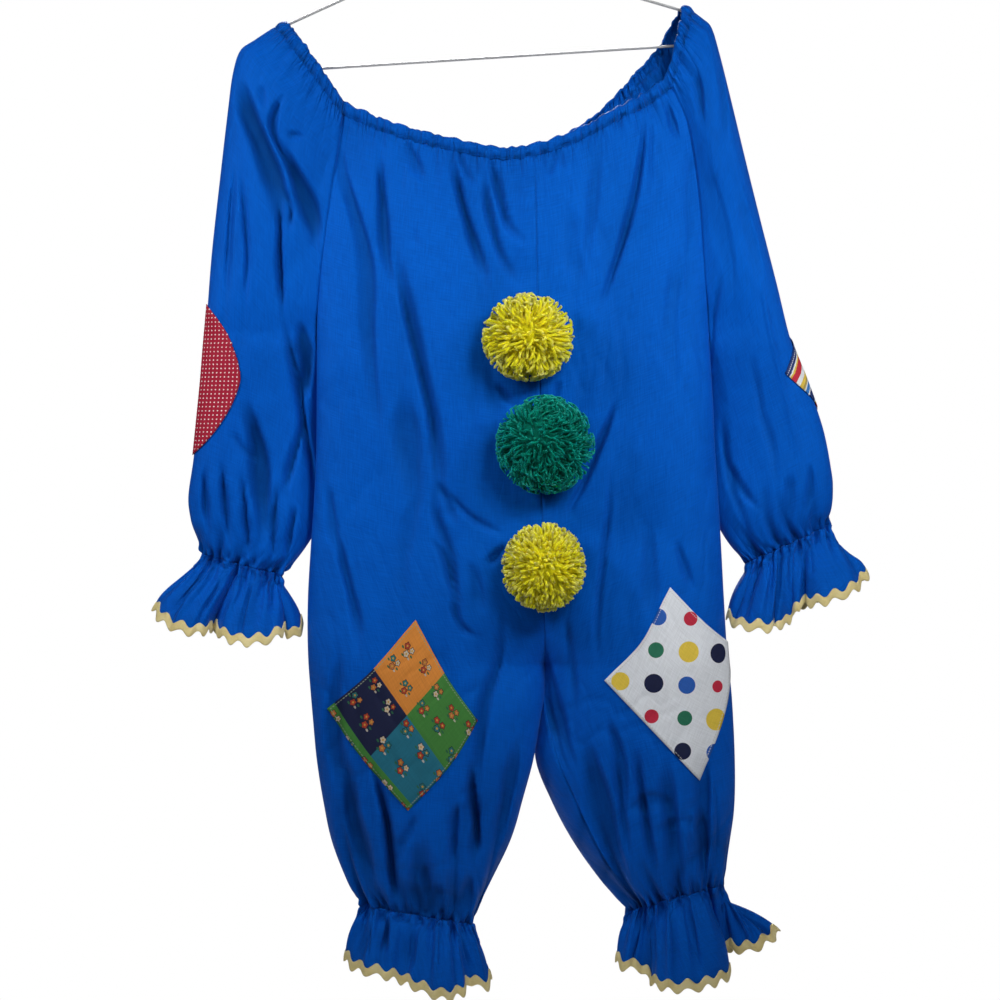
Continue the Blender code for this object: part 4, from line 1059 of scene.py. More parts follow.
# each frill: the seed of its gathers and the cloth that it hangs from
frills = {
    "wrist_ruffle_right": (2.0, ["sleeve_right"]),
    "wrist_ruffle_left": (5.0, ["sleeve_left"]),
    "ankle_ruffle_right": (4.0, ["front_right", "back_right"]),
    "ankle_ruffle_left": (7.0, ["front_left", "back_left"]),
}
neckSeed = 1.3
legLength = 230.0             # round the elastics, for the shirr maps
wristLength = 190.0
frillLength = 210.0
# the panels in their order round the neck, and whether each one's own columns run that way
neckOrder = [("front_right", True), ("sleeve_right", True), ("back_right", False),
             ("back_left", True), ("sleeve_left", False), ("front_left", False)]


def panelRelief(side, sheet, share, x, drop):
    # folds and grain that die out at the side edge, and ripples along the centre seam
    height = foldHeight(x, drop, panelFolds[sheet]) + clothGrain(x, drop, sheet)
    height = height * ease(1 - np.abs(share), 0.0, 0.08)
    fromSeam = np.where(drop < crotch["ends"], np.abs(x - lookUp(outline, side + "Inner", drop)), 99.0)
    ripple = np.cos(drop * 2 * math.pi / seamRipple["length"] + 2 * np.sin(drop / 31))
    return height + seamRipple["high"] * np.exp(-(fromSeam / seamRipple["reach"]) ** 2) * ripple


def measureNeck():
    # how far round the neck each panel's columns start, from the centre front, and the length of the whole round
    turns, soFar = {}, 0.0
    for name, forward in neckOrder:
        run = distances(basePoints[name][0])
        turns[name] = soFar + (run if forward else run[-1] - run)
        soFar += run[-1]
    return {name: (turn / soFar)[None, :] for name, turn in turns.items()}, soFar


neckTurns, neckLength = measureNeck()
print("neck edge", round(neckLength), "mm round")


def fromBottom(points):
    run = distances(points)
    return run[-1] - run


def endTurn(row, side):
    # how far round the end each column lies, from its left end along the front, by its own length
    run = distances(row)
    share = run / run[-1] / 2
    return (0.5 - share) % 1.0 if side == "right" else share


def edgeHeight(name, neckFade, turn, looks, seed):
    # gathers at the neck, then gathers and puffs at the other end
    fromTop = distances(basePoints[name])
    fromEnd = fromBottom(basePoints[name])
    height = neckFade * gathers(neckTurns[name], fromTop, neckPuckers, neckSeed)
    return height + gathers(turn, fromEnd, looks, seed) + elasticPuff(turn, -fromEnd, seed)


def sewPanel(name, points, out, sunk, endAlong):
    # the shirr map counts round the nearer elastic, and away from it
    base = basePoints[name]
    finePoints[name] = points
    baseNormals[name] = out
    fromTop, fromEnd = distances(base), fromBottom(base)
    around = np.where(fromTop < fromEnd, neckTurns[name] * neckLength, endAlong)
    shirr = np.stack([around, np.minimum(fromTop, fromEnd)], axis=-1)
    addCloth("suit_" + name, name, points, clothWall, "blue_broadcloth", out, shirr, foldShadeOf(sunk), base)


for side, sheet, name in panels:
    base = basePoints[name]
    share, drop, across = panelShares[name]
    out = facing(base)
    out = out * np.sign(np.sum(out[..., 1]) * sheet)
    folds = panelRelief(side, sheet, share, base[..., 0], drop)
    legTurn = endTurn(base[-1], side)
    legTurn = (legTurn if sheet == front else -legTurn % 1.0)[None, :] * np.ones((len(base), 1))
    seed, _ = frills["ankle_ruffle_" + side]
    height = edgeHeight(name, ease(1 - across, 0.0, 0.05), legTurn, anklePuckers, seed)
    sewPanel(name, raised(base, out, folds, height), out, folds + height, legTurn * legLength)
print("panels cut and hung")


# sleeves

sleeveGrain = {"right": 0.8, "left": 0.5}  # how much of the cloth's own unevenness each sleeve shows
sleeveFoldsBack = {
    "right": [
        (6, 3.2, [(-180, 215), (-186, 290), (-184, 370), (-192, 450)]),
        (5, 3.0, [(-205, 240), (-212, 330), (-218, 430), (-222, 520)]),
        (5, 3.0, [(-158, 300), (-166, 380), (-168, 470), (-176, 560)]),
        (4, 2.6, [(-232, 480), (-226, 540), (-222, 600)]),
        (4, 2.6, [(-196, 500), (-200, 550), (-204, 610)]),
    ],
    "left": [
        (6, 3.2, [(190, 200), (206, 270), (222, 350), (236, 430)]),
        (5, 3.0, [(222, 230), (240, 310), (262, 400), (280, 490)]),
        (5, 3.0, [(224, 380), (238, 460), (252, 540), (262, 590)]),
        (4, 2.6, [(296, 470), (300, 530), (302, 585)]),
        (4, 2.6, [(268, 480), (276, 540), (284, 592)]),
    ],
}
sleeveFolds = {"right": (sleeveFoldsRight, sleeveFoldsBack["right"]),
               "left": (sleeveFoldsLeft, sleeveFoldsBack["left"])}


def sleeveRelief(side, base, onFront):
    x, drop = base[..., 0], -base[..., 2]
    height = 0.0
    for share, folds in zip((onFront, 1 - onFront), sleeveFolds[side]):
        height = height + share * foldHeight(x, drop, folds)
    grain = onFront * clothGrain(x, drop, 2.0) + (1 - onFront) * clothGrain(x, drop, 3.0)
    return height + sleeveGrain[side] * grain


for side in sides:
    name = "sleeve_" + side
    base = basePoints[name]
    out = facing(base)
    out = out * (1 if np.sum(out[:, out.shape[1] // 4, 1]) < 0 else -1)
    seamFade = ease(np.minimum(sleeveAcross, 1 - sleeveAcross), 0.0, 0.03)
    sunk = sleeveRelief(side, base, ease(0.5 - sleeveAcross, -0.03, 0.03)) * seamFade
    room = np.abs(base[..., 1] - base[:, ::-1, 1]) * 0.42 + 1.5  # a valley stops short of the cloth behind it
    folds = np.where(sunk < 0, -room * np.tanh(-sunk / room), sunk)
    half = base.shape[1] // 2
    wristTurn = endTurn(base[-1, :half + 1], side)
    wristTurn = np.concatenate([wristTurn, -endTurn(base[-1, half:][::-1], side)[::-1][1:] % 1.0])[None, :]
    seed, _ = frills["wrist_ruffle_" + side]
    height = edgeHeight(name, seamFade, wristTurn, wristPuckers, seed)
    points = raised(base, out, folds, height)
    joined = sleeveDown[:, -1:] * (len(sleeveRows[side]["half"]) - 1) > sleeveTube["joinedFrom"]
    points[:, -1] = np.where(joined, points[:, 0], points[:, -1])
    sewPanel(name, points, out, sunk + height, sleeveAcross * wristLength)
print("sleeves set in")


# the shirred casing round the neck

casing = {
    "columns": 880,
    "wall": 0.8,
    "top": 11.0,              # height of the casing over its stitching
    "puckers": 104,
    "puckerHalf": (0.0016, 0.0012),  # half width as a share of the round, and what chance adds
    "scallop": 1.6,           # of the top edge
    "wiggle": 1.1,            # of the stitching
    "wiggleReach": 3.0,
    "stitching": (0.8, 1.8),  # height of the row of painted shade along the stitches and how far it spreads
}
# height above the stitching, how far the casing stands off the ring there, and how far its puckers cut in
casingProfile = table("rise off cut", [
    (-1, 0.5, 0.2), (0.2, 0.7, 0.5), (1.4, 1.5, 0.9), (3, 2.4, 1.5), (5, 2.9, 1.9), (7, 2.7, 1.9),
    (8.8, 2.2, 1.7), (10.2, 1.4, 1.4), (11, 0.3, 1), (11.2, -0.8, 0.8), (10.6, -1.8, 0.5), (8.6, -2.4, 0.3)])


def neckRing(count):
    # even places round the neck edge, with the way up the cloth and the way out of it
    places, ways, outs = [], [], []
    for name, forward in neckOrder:
        turn = 1 if forward else -1
        places.append(finePoints[name][0][::turn])
        ways.append((basePoints[name][0] - basePoints[name][6])[::turn])
        outs.append(baseNormals[name][2][::turn])
    places, ways, outs = np.concatenate(places), unit(np.concatenate(ways)), np.concatenate(outs)
    run = distances(np.concatenate([places, places[:1]]))
    even = np.linspace(0, run[-1], count, endpoint=False)
    places, ways, outs = [respaced(even, run[:-1], values, run[-1]) for values in (places, ways, outs)]
    return places, unit(evened(ways, 40)), unit(evened(outs, 40))


def makeCasing():
    places, up, out = neckRing(casing["columns"])
    turn = np.arange(casing["columns"]) / casing["columns"]
    steady = evened(places, 60)
    # puckers of their own places and depths, with puffs between them
    notch = np.zeros_like(turn)
    for k in range(casing["puckers"]):
        middle = (k + 0.9 * chance(8.8, k)) / casing["puckers"]
        wide = casing["puckerHalf"][0] + casing["puckerHalf"][1] * chance(9.7, k)
        notch += (0.3 + 0.7 * chance(9.1, k)) * np.exp(-(roundGap(turn - middle) / wide) ** 2)
    notch = np.clip(notch, 0, 1.2)
    swell = 0.8 + 0.2 * gatherWave(turn, 31, 2.2)
    wiggle = casing["wiggle"] * (gatherWave(turn, 67, 4.4) + 0.6 * gatherWave(turn, 113, 0.7))
    scallop = casing["scallop"] * (0.5 * gatherWave(turn, 52, 1.9) - notch)
    crimp = 0.5 + 0.5 * gatherWave(turn, 83, 5.1)
    rows, casingShade = [], []
    for rise, off, cut in zip(*casingProfile.values()):
        share = np.clip(rise / casing["top"], 0, 1)
        low = np.clip(1 - np.abs(rise) / casing["wiggleReach"], 0, 1)
        row = steady + (places - steady) * (1 - share)
        row = row + up * (rise + scallop * share ** 2 + wiggle * low)[:, None]
        rows.append(row + out * (off * swell - cut * notch)[:, None])
        # painted shade: the puckers and the row along the stitching are darker
        stitched = np.exp(-((rise - casing["stitching"][0]) / casing["stitching"][1]) ** 2)
        casingShade.append(np.clip(notch * (0.45 + 0.55 * stitched) + 0.55 * stitched * crimp, 0, 1))
    points, casingShade, outs = [np.concatenate([values, values[:, :1]], axis=1)
                          for values in (np.array(rows), np.array(casingShade), np.repeat(out[None], len(rows), axis=0))]
    around = np.append(turn, 1.0)[None, :] * neckLength
    away = np.abs(casingProfile["rise"])[:, None] * 0.7
    shirr = np.stack(np.broadcast_arrays(around, away), axis=-1)
    addCloth("neck_shirring", "neck_casing", points, casing["wall"], "blue_broadcloth", outs, shirr, casingShade)


makeCasing()
print("neck shirred")


# frills at the wrists and ankles

frillGrid = (260, 24)         # columns and rows
# band: short puckers by the elastic; valley: crisp folds that run down to the hem; lobes: count and height of the
# soft waves between them
frillLooks = {
    "wrist": {"band": wristPuckers["fine"], "valley": {"count": 8, "deep": 5.0, "wide": 0.014}, "lobes": (7, 2.6)},
    "ankle": {"band": anklePuckers["fine"], "valley": {"count": 9, "deep": 5.4, "wide": 0.012}, "lobes": (9, 2.8)},
}


def frillValleys(turn, share, look, seed):
    # creases that fan down from the elastic, each with its own start, end, width and lean
    total = np.zeros(np.broadcast(turn, share).shape)
    for k in range(look["count"]):
        middle = (k + 0.8 * chance(seed, k)) / look["count"]
        lean = 0.030 * (chance(seed + 1, k) - 0.5)
        wide = look["wide"] * (0.6 + 0.9 * chance(seed + 2, k)) * (0.45 + 0.9 * share)
        starts = -0.05 + 0.25 * chance(seed + 3, k)
        ends = 0.55 + 0.8 * chance(seed + 4, k)
        gap = roundGap(turn - middle - lean * share)
        wide = wide * np.where(gap > 0, 0.55, 1.7)
        along = ease(share, starts, starts + 0.25) * (1 - ease(share, ends - 0.35, ends))
        total -= look["deep"] * (0.5 + 0.7 * chance(seed + 5, k)) * along * np.exp(-(np.abs(gap) / wide) ** 1.3)
    return total


def evenLoop(loop, count):
    # a closed loop, started at its left end and run along the front first
    start = int(np.argmin(loop[:, 0]))
    end = int(np.argmax(loop[:, 0]))
    size = len(loop)
    one = loop[[(start + k) % size for k in range((end - start) % size + 1)]]
    two = loop[[(start - k) % size for k in range((start - end) % size + 1)]]
    frontPath, backPath = (one, two) if one[:, 1].mean() < two[:, 1].mean() else (two, one)
    half = np.linspace(0, 1, count // 2 + 1)
    frontRun, backRun = [respaced(half * distances(path)[-1], distances(path), path)
                         for path in (frontPath, backPath)]
    return np.concatenate([frontRun, backRun[::-1][1:]])


def hemLoop(name, turn):
    rows = hems[name]
    wrapped = np.concatenate([rows["turn"][-3:] - 1, rows["turn"], rows["turn"][:3] + 1])
    x, y, drop = [smooth(wrapped, np.concatenate([rows[key][-3:], rows[key], rows[key][:3]]), turn)
                  for key in ("x", "y", "drop")]
    return np.stack([x, y, -drop], axis=1)


def loopEnd(names):
    # the last rows of one tube, or of a front and a back panel, as one closed loop
    rows = [finePoints[name][-1] for name in names]
    return rows[0][:-1] if len(rows) == 1 else np.concatenate([rows[0], rows[1][::-1][1:-1]])


def frillHeight(turn, share, away, look, seed):
    ring = turn[None, :]
    band = puckers(ring, away, look["band"], seed) * (1 - np.exp(-away / 5.0)) * 0.8
    # the puffs start from nothing at the elastic itself
    still = elasticPuff(ring, away * 0, seed) * np.exp(-(away / elastic["reach"]) ** 2)
    puff = elasticPuff(ring, away, seed) - still
    puff = puff + 0.8 * elasticPuff(ring, away, seed + 21) * (1 - np.exp(-away / 4.0))
    lobeCount, lobeHigh = look["lobes"]
    lobeFade = ease(share, 0.05, 0.6) * (1 - 0.5 * ease(share, 0.6, 1.0))
    lobes = lobeHigh * gatherWave(turn, lobeCount, seed + 2)[None, :] * lobeFade[:, None]
    return band + puff + lobes + frillValleys(ring, share[:, None], look["valley"], seed + 9)


def makeFrill(name, seed, sources):
    columns, rows = frillGrid
    limb = name.split("_")[0]
    turn = np.linspace(0, 1, columns + 1)
    top, hem = evenLoop(loopEnd(sources), columns), hemLoop(name, turn)
    share = np.linspace(0, 1, rows + 1) ** 1.15
    bell = 0.3 * share + 0.7 * share ** 2 * (3 - 2 * share) if limb == "wrist" else 1 - (1 - share) ** 1.35
    points = top + (hem - top) * share[:, None, None]
    points[..., :2] = top[:, :2] + (hem - top)[:, :2] * bell[:, None, None]
    out = facing(np.concatenate([points, points[:, 1:2]], axis=1)[:, :-1])
    out = out * (1 if np.sum(out * (points - points.mean(axis=(0, 1)))) > 0 else -1)
    away = distances(points)
    height = frillHeight(turn, share, away, frillLooks[limb], seed)
    points = points + out * height[..., None]
    points[:, -1] = points[:, 0]
    shirr = np.stack(np.broadcast_arrays(turn[None, :] * frillLength, away), axis=-1)
    addCloth("suit_" + name, name, points, clothWall, "blue_broadcloth", out, shirr, foldShadeOf(height))
    return points, out


frillPoints = {name: makeFrill(name, seed, sources) for name, (seed, sources) in frills.items()}
print("frills flared")


# rick-rack on the hems

braid = {
    "period": 16.8,
    "swing": 2.7,
    "width": 8.3,
    "steps": 16,              # columns in each wave
    "rows": 7,
    "wall": 1.1,
    "lift": 0.9,              # off the frill
    "crown": 0.35,            # how much higher its middle lies
    "centre": 0.4,            # how far below the hem
    "plies": (7000.0, 6000.0),
    "colour": (0.84, 0.70, 0.30),
    "shadow": (0.56, 0.43, 0.15),
    "pale": (0.90, 0.82, 0.50),
}


def makeBraidFinish():
    tree, shader = newFinish("yellow_rickrack", "yellow_rickrack", 0.72)
    along, across = [maths(tree, "SINE", times(tree, place, count))
                     for place, count in zip(splitMap(tree, mapping(tree)), braid["plies"])]
    ply = timesPlus(tree, times(tree, along, across), 0.5, 0.5)
    # painted shade and highlight: darker between the plies and lighter on them, with blotches along the braid that
    # differ at random
    tone = timesPlus(tree, ply, 0.35, times(tree, solidSpeckle(tree, 60.0, 3.0), 0.9))
    colour = ramp(tree, tone, [(0.25, braid["shadow"]), (0.62, braid["colour"]), (0.95, braid["pale"])])
    tree.links.new(colour, shader.inputs["Base Color"])
    setAll(shader, {"Sheen Weight": 0.15})
    bump(tree, shader, ply, 0.5, 0.5 * metre)


def makeBraid(name):
    points, out = frillPoints[name]
    run = distances(points[-1])
    waves = round(run[-1] / braid["period"])
    even = np.linspace(0, run[-1], waves * braid["steps"] + 1)
    hem, out, fall = [respaced(even, run, values) for values in (points[-1], out[-1], unit(points[-1] - points[-4]))]
    out = unit(out)
    phase = even / run[-1] * waves * 2 * math.pi
    swing = braid["swing"] * np.cos(phase + 0.5 * np.sin(phase / 3.7))
    rows = []
    for edge in np.linspace(-0.5, 0.5, braid["rows"]):
        down = braid["centre"] + swing + edge * braid["width"] * (1 + 0.08 * np.sin(phase * 1.31))
        crown = braid["crown"] * (1 - (2 * edge) ** 2)
        rows.append(hem + fall * down[:, None] + out * (braid["lift"] + crown))
    rows = np.array(rows)
    rows[:, -1] = rows[:, 0]
    trim = name.replace("ruffle", "trim")
    outs = np.repeat(out[None], len(rows), axis=0)
    addCloth("rickrack_" + trim, trim, rows, braid["wall"], "yellow_rickrack", outs)


makeBraidFinish()
for name in frills:
    makeBraid(name)
print("rick-rack sewn on")


# patches

patch = {
    "steps": 60,              # columns and rows
    "wall": 0.6,
    "lift": 1.5,              # off the cloth below
    "gloss": 0.25,
    "roughness": 0.75,
    "threads": 1500,          # threads in a metre
    "weaveDepth": 0.12,
    "slubs": (0.5, 0.75),     # how far the slubs move the colour, and its least
    "turnIn": (0.4, 1.0, 0.3),  # rise of the edge towards the middle, its height, its rounding
    "stitchHalf": 0.34,
    "stitchLength": 2.6,
    "stitchGap": -0.35,       # above this level of a wave from -1 to 1 the thread shows
    "stitchDepth": 0.5,
    "relief": 0.5,
}


def addPatch(name, node, points, out, lay, slot, size):
    # two maps in millimetres: one over the patch's own cut, for its edges, and one upright, for its print
    flat = points + out * patch["lift"]
    item = addCloth(name, node, flat, patch["wall"], slot, out)
    spot = item.data.uv_layers.new(name="print")
    upright = item.data.uv_layers.new(name="lay")
    rowCount, columnCount = points.shape[:2]
    flat = flat.reshape(-1, 3)
    flatLay = lay.reshape(-1, 2)
    seats = {tuple(np.round(place * 20).astype(int)): k for k, place in enumerate(flat)}
    across = np.linspace(0, size[0], columnCount)
    down = np.linspace(0, size[1], rowCount)
    for loop in item.data.loops:
        place = np.array(item.data.vertices[loop.vertex_index].co / metre)
        k = seats.get(tuple(np.round(place * 20).astype(int)))
        if k is None:
            k = int(np.argmin(np.linalg.norm(flat - place, axis=1)))
        spot.data[loop.index].uv = (across[k % columnCount], down[k // columnCount])
        upright.data[loop.index].uv = flatLay[k]


def stitchLine(tree, x, y, size, inset):
    # 1 on the stitches inside the edges and 0 elsewhere, and how far the nearest edge is
    near = least(tree, least(tree, x, minus(tree, size[0], x)), least(tree, y, minus(tree, size[1], y)))
    line = below(tree, maths(tree, "ABSOLUTE", minus(tree, near, inset)), patch["stitchHalf"])
    run = maths(tree, "SINE", times(tree, plus(tree, x, y), 2 * math.pi / patch["stitchLength"]))
    return times(tree, line, above(tree, run, patch["stitchGap"])), near


def makePatchFinish(slot, name, look, inkOf):
    # inkOf gives the print's colour at a place on the patch's cut, and seams gives the lines across it
    tree, shader = newFinish(slot, name, patch["roughness"])
    x, y = splitMap(tree, uvMap(tree, "print"))
    stitch, near = stitchLine(tree, x, y, look.get("stitched", look["size"]), look["inset"])
    for value, place in zip((x, y), look.get("seams", ())):
        near = least(tree, near, maths(tree, "ABSOLUTE", minus(tree, value, place)))
    cross, slub = weave(tree, patch["threads"])
    colour = blend(tree, 1.0, inkOf(tree, x, y, look), timesPlus(tree, slub, *patch["slubs"]), "MULTIPLY")
    tree.links.new(blend(tree, stitch, colour, look["thread"]), shader.inputs["Base Color"])
    rise, high, rounding = patch["turnIn"]
    fold = maths(tree, "SMOOTH_MIN", times(tree, near, rise), high, rounding)
    height = plus(tree, times(tree, cross, patch["weaveDepth"]), fold)
    height = minus(tree, height, times(tree, stitch, patch["stitchDepth"]))
    bump(tree, shader, height, patch["relief"], 0.8 * metre)
    setAll(shader, {"Specular IOR Level": patch["gloss"]})


def cells(tree, x, y, pitch, shiftX=0.0, shiftY=0.0):
    # square cells: their numbers, and the place inside each from its middle in millimetres
    numbers, insides = [], []
    for value, shift in ((x, shiftX), (y, shiftY)):
        scaled = maths(tree, "DIVIDE", plus(tree, value, shift), pitch)
        numbers.append(maths(tree, "FLOOR", scaled))
        insides.append(times(tree, minus(tree, maths(tree, "FRACT", scaled), 0.5), pitch))
    return numbers, insides


def chanceOf(tree, numbers, seed):
    joined = tree.nodes.new("ShaderNodeCombineXYZ")
    tree.links.new(numbers[0], joined.inputs["X"])
    tree.links.new(numbers[1], joined.inputs["Y"])
    joined.inputs["Z"].default_value = seed
    dice = tree.nodes.new("ShaderNodeTexWhiteNoise")
    tree.links.new(joined.outputs["Vector"], dice.inputs["Vector"])
    return dice.outputs["Value"]


def turned(tree, x, y, angle):
    across = plus(tree, times(tree, x, math.cos(angle)), times(tree, y, -math.sin(angle)))
    down = plus(tree, times(tree, x, math.sin(angle)), times(tree, y, math.cos(angle)))
    return across, down


# each ink with the radius of its spots; a spot's place in the grid picks its ink, and chance a little of its size
spots = {
    "cloth": "spotted_cotton",
    "size": (105.0, 118.0),
    "inset": 2.4,             # of the stitches
    "thread": (0.58, 0.58, 0.58),
    "pitch": 29.5,
    "shift": 300.0,
    "turn": -0.06,
    "step": 2.0,              # inks from one row to the next
    "first": 0.3,
    "vary": (2.2, 9.0),       # what chance adds to the size, and its least, in tenths
    "ground": (0.72, 0.75, 0.80),
    "inks": [((0.008, 0.012, 0.05), 8.4), ((0.02, 0.10, 0.42), 7.4), ((0.50, 0.02, 0.05), 5.8),
             ((0.02, 0.16, 0.09), 6.8), ((0.72, 0.52, 0.06), 8.8)],
}


def spotInk(tree, x, y, look):
    across, down = turned(tree, *splitMap(tree, uvMap(tree, "lay")), look["turn"])
    numbers, insides = cells(tree, across, down, look["pitch"], look["shift"], look["shift"])
    stepped = timesPlus(tree, numbers[1], look["step"], numbers[0])
    count = len(look["inks"])
    pick = maths(tree, "FRACT", timesPlus(tree, stepped, 1 / count, look["first"]))
    ink = ramp(tree, pick, [(k / count, row[0]) for k, row in enumerate(look["inks"])], "CONSTANT")
    size = ramp(tree, pick, [(k / count, (row[1] / 10.0,) * 3) for k, row in enumerate(look["inks"])], "CONSTANT")
    vary = timesPlus(tree, chanceOf(tree, numbers, 3.0), *look["vary"])
    dot = below(tree, lengthOf(tree, *insides), times(tree, size, vary))
    return blend(tree, dot, look["ground"], ink)


calico = {
    "cloth": "calico_print",
    "size": (96.0, 100.0),
    "seams": (48.0, 50.0),
    "inset": 1.8,
    "thread": (0.24, 0.28, 0.20),
    "orange": (0.62, 0.22, 0.035),
    "navy": (0.006, 0.010, 0.045),
    "green": (0.045, 0.19, 0.035),
    "teal": (0.010, 0.13, 0.20),
    "strip": 7.0,             # the green at the foot
    "pitch": 21.5,            # of the sprays of flowers
    "shift": (109.0, 104.0),
    "stray": 0.3,             # of the pitch
    # flowers: place in the spray and radius; leaves: place and ink
    "flowers": [(-3.1, -1.5, 2.2), (2.6, -2.4, 1.9), (0.5, 3.0, 2.3)],
    "leaves": [(-5.6, 2.0, (0.02, 0.11, 0.05)), (5.3, 1.0, (0.02, 0.11, 0.05)),
               (4.4, 3.9, (0.42, 0.38, 0.32)), (-1.7, 5.9, (0.02, 0.11, 0.05))],
    "leafHalf": 1.4,
    "leafNarrow": 1.8,
    "petals": (5.0, 0.35),    # count, and how far they stand out
    "outline": 0.5,
    "heart": 0.8,
    "petalInks": [(0.0, (0.50, 0.42, 0.32)), (0.2, (0.34, 0.04, 0.02)), (0.55, (0.42, 0.14, 0.04)),
                  (0.85, (0.02, 0.14, 0.14))],
    "outlineInk": (0.012, 0.010, 0.012),
    "heartInk": (0.50, 0.28, 0.04),
}


def calicoInk(tree, x, y, look):
    # four squares sewn together, with a strip at the foot, and sprays of flowers over them
    right = above(tree, x, look["seams"][0])
    upper = blend(tree, right, look["orange"], look["green"])
    lower = blend(tree, right, look["navy"], look["teal"])
    colour = blend(tree, above(tree, y, look["seams"][1]), upper, lower)
    colour = blend(tree, above(tree, y, look["size"][1] - look["strip"]), colour, look["green"])
    numbers, insides = cells(tree, x, y, look["pitch"], *look["shift"])
    spread = look["pitch"] * look["stray"]
    a, b = [minus(tree, inside, timesPlus(tree, chanceOf(tree, numbers, seed), spread, -spread / 2))
            for inside, seed in zip(insides, (1.1, 1.2))]
    for leafX, leafY, ink in look["leaves"]:
        gapY = times(tree, minus(tree, b, leafY), look["leafNarrow"])
        leaf = below(tree, lengthOf(tree, minus(tree, a, leafX), gapY), look["leafHalf"])
        colour = blend(tree, leaf, colour, ink)
    for k, (flowerX, flowerY, radius) in enumerate(look["flowers"]):
        gapX = minus(tree, a, flowerX)
        gapY = minus(tree, b, flowerY)
        away = lengthOf(tree, gapX, gapY)
        count, deep = look["petals"]
        wave = maths(tree, "COSINE", times(tree, maths(tree, "ARCTAN2", gapX, gapY), count))
        petals = timesPlus(tree, wave, deep, radius)
        inks = ramp(tree, chanceOf(tree, numbers, 5.3 + k), look["petalInks"], "CONSTANT")
        colour = blend(tree, below(tree, away, plus(tree, petals, look["outline"])), colour, look["outlineInk"])
        colour = blend(tree, below(tree, away, petals), colour, inks)
        colour = blend(tree, below(tree, away, look["heart"]), colour, look["heartInk"])
    return colour


pinDots = {
    "cloth": "pin_dot_cotton",
    "size": (100.0, 134.0),
    "inset": 2.2,
    "thread": (0.35, 0.05, 0.06),
    "pitch": 3.8,
    "radius": 0.66,
    "ground": (0.33, 0.006, 0.028),
    "dot": (0.74, 0.60, 0.62),
}


def pinDotInk(tree, x, y, look):
    _, insides = cells(tree, *splitMap(tree, uvMap(tree, "lay")), look["pitch"])
    return blend(tree, below(tree, lengthOf(tree, *insides), look["radius"]), look["ground"], look["dot"])


stripes = {
    "cloth": "striped_cotton",
    "size": (69.0, 69.0),
    "stitched": (88.0, 112.0),  # the square that the line of stitches is laid out for
    "inset": 2.2,
    "thread": (0.6, 0.6, 0.6),
    "repeat": 31.0,
    "shift": 200.0,
    # where each stripe starts, as a share of the repeat, and its ink
    "bands": [(0.0, (0.62, 0.44, 0.06)), (0.10, (0.36, 0.28, 0.08)), (0.17, (0.66, 0.68, 0.70)),
              (0.21, (0.03, 0.16, 0.45)), (0.32, (0.66, 0.68, 0.70)), (0.36, (0.012, 0.03, 0.13)),
              (0.60, (0.66, 0.68, 0.70)), (0.64, (0.62, 0.44, 0.06)), (0.69, (0.45, 0.02, 0.04)),
              (0.86, (0.66, 0.68, 0.70))],
}


def stripeInk(tree, x, y, look):
    run = maths(tree, "DIVIDE", plus(tree, x, look["shift"]), look["repeat"])
    return ramp(tree, maths(tree, "FRACT", run), look["bands"], "CONSTANT")


# corners top, right, bottom, left in x and drop; bow pushes the edges out or in at their middles
knees = {
    "right": {"corners": ((-52.0, 678.0), (3.0, 768.0), (-59.0, 848.0), (-131.0, 758.0)),
              "bow": (-3.0, 5.0, 3.0, -4.0)},
    "left": {"corners": ((174.0, 649.0), (228.0, 700.0), (201.0, 822.0), (116.0, 732.0)),
             "bow": (-2.0, 10.0, 0.0, -7.0)},
}
outermost = 0.985             # share of the panel


def kneePoints(side, corners, bow):
    s, t = gridShares(patch["steps"], patch["steps"])
    top, right, bottom, left = np.array(corners)
    place = ((1 - s) * (1 - t))[..., None] * top + (s * (1 - t))[..., None] * right
    place = place + (s * t)[..., None] * bottom + ((1 - s) * t)[..., None] * left
    centre = (top + bottom + left + right) / 4
    away = place - centre
    for k, (share, other) in enumerate(((t, s), (1 - s, t), (1 - t, s), (s, t))):
        push = bow[k] * np.exp(-(share / 0.25) ** 2) * np.sin(math.pi * other)
        place = place + away / np.maximum(np.linalg.norm(away, axis=-1, keepdims=True), 1) * push[..., None]
    x, drop = place[..., 0], place[..., 1]
    share = np.minimum(bodyShare(side, x, drop), outermost)
    base = body(side, front, share, drop)
    out = facing(base)
    out = out * (1 if np.sum(out[..., 1]) < 0 else -1)
    folds = panelRelief(side, front, share, base[..., 0], drop)
    # the distance round the leg from the patch's middle
    middle = share[patch["steps"] // 2, patch["steps"] // 2]
    steps = [body(side, front, middle + (share - middle) * k / 16, drop) for k in range(17)]
    run = sum(np.linalg.norm(after - before, axis=-1) for before, after in zip(steps, steps[1:]))
    across = run * (np.sign(share - middle) * sides[side]) + steps[0][..., 0] - centre[0]
    return raised(base, out, folds, 0.0), out, np.stack([across, drop - centre[1]], axis=-1)


# pastFold: how far behind the outer fold the middle lies; rounding: 1 is a square on its point, 2 a round
elbows = {
    "right": {"centreDrop": 463.0, "halfHeight": 68.0, "halfWidth": 43.0, "pastFold": 0.0, "rounding": 1.5},
    "left": {"centreDrop": 458.0, "halfHeight": 46.0, "halfWidth": 42.0, "pastFold": 17.0, "rounding": 1.05},
}


def readBetween(values, row, column):
    i, j = row.astype(int), column.astype(int)
    a, b = (row - i)[..., None], (column - j)[..., None]
    upper = values[i, j] * (1 - b) + values[i, j + 1] * b
    lower = values[i + 1, j] * (1 - b) + values[i + 1, j + 1] * b
    return upper * (1 - a) + lower * a


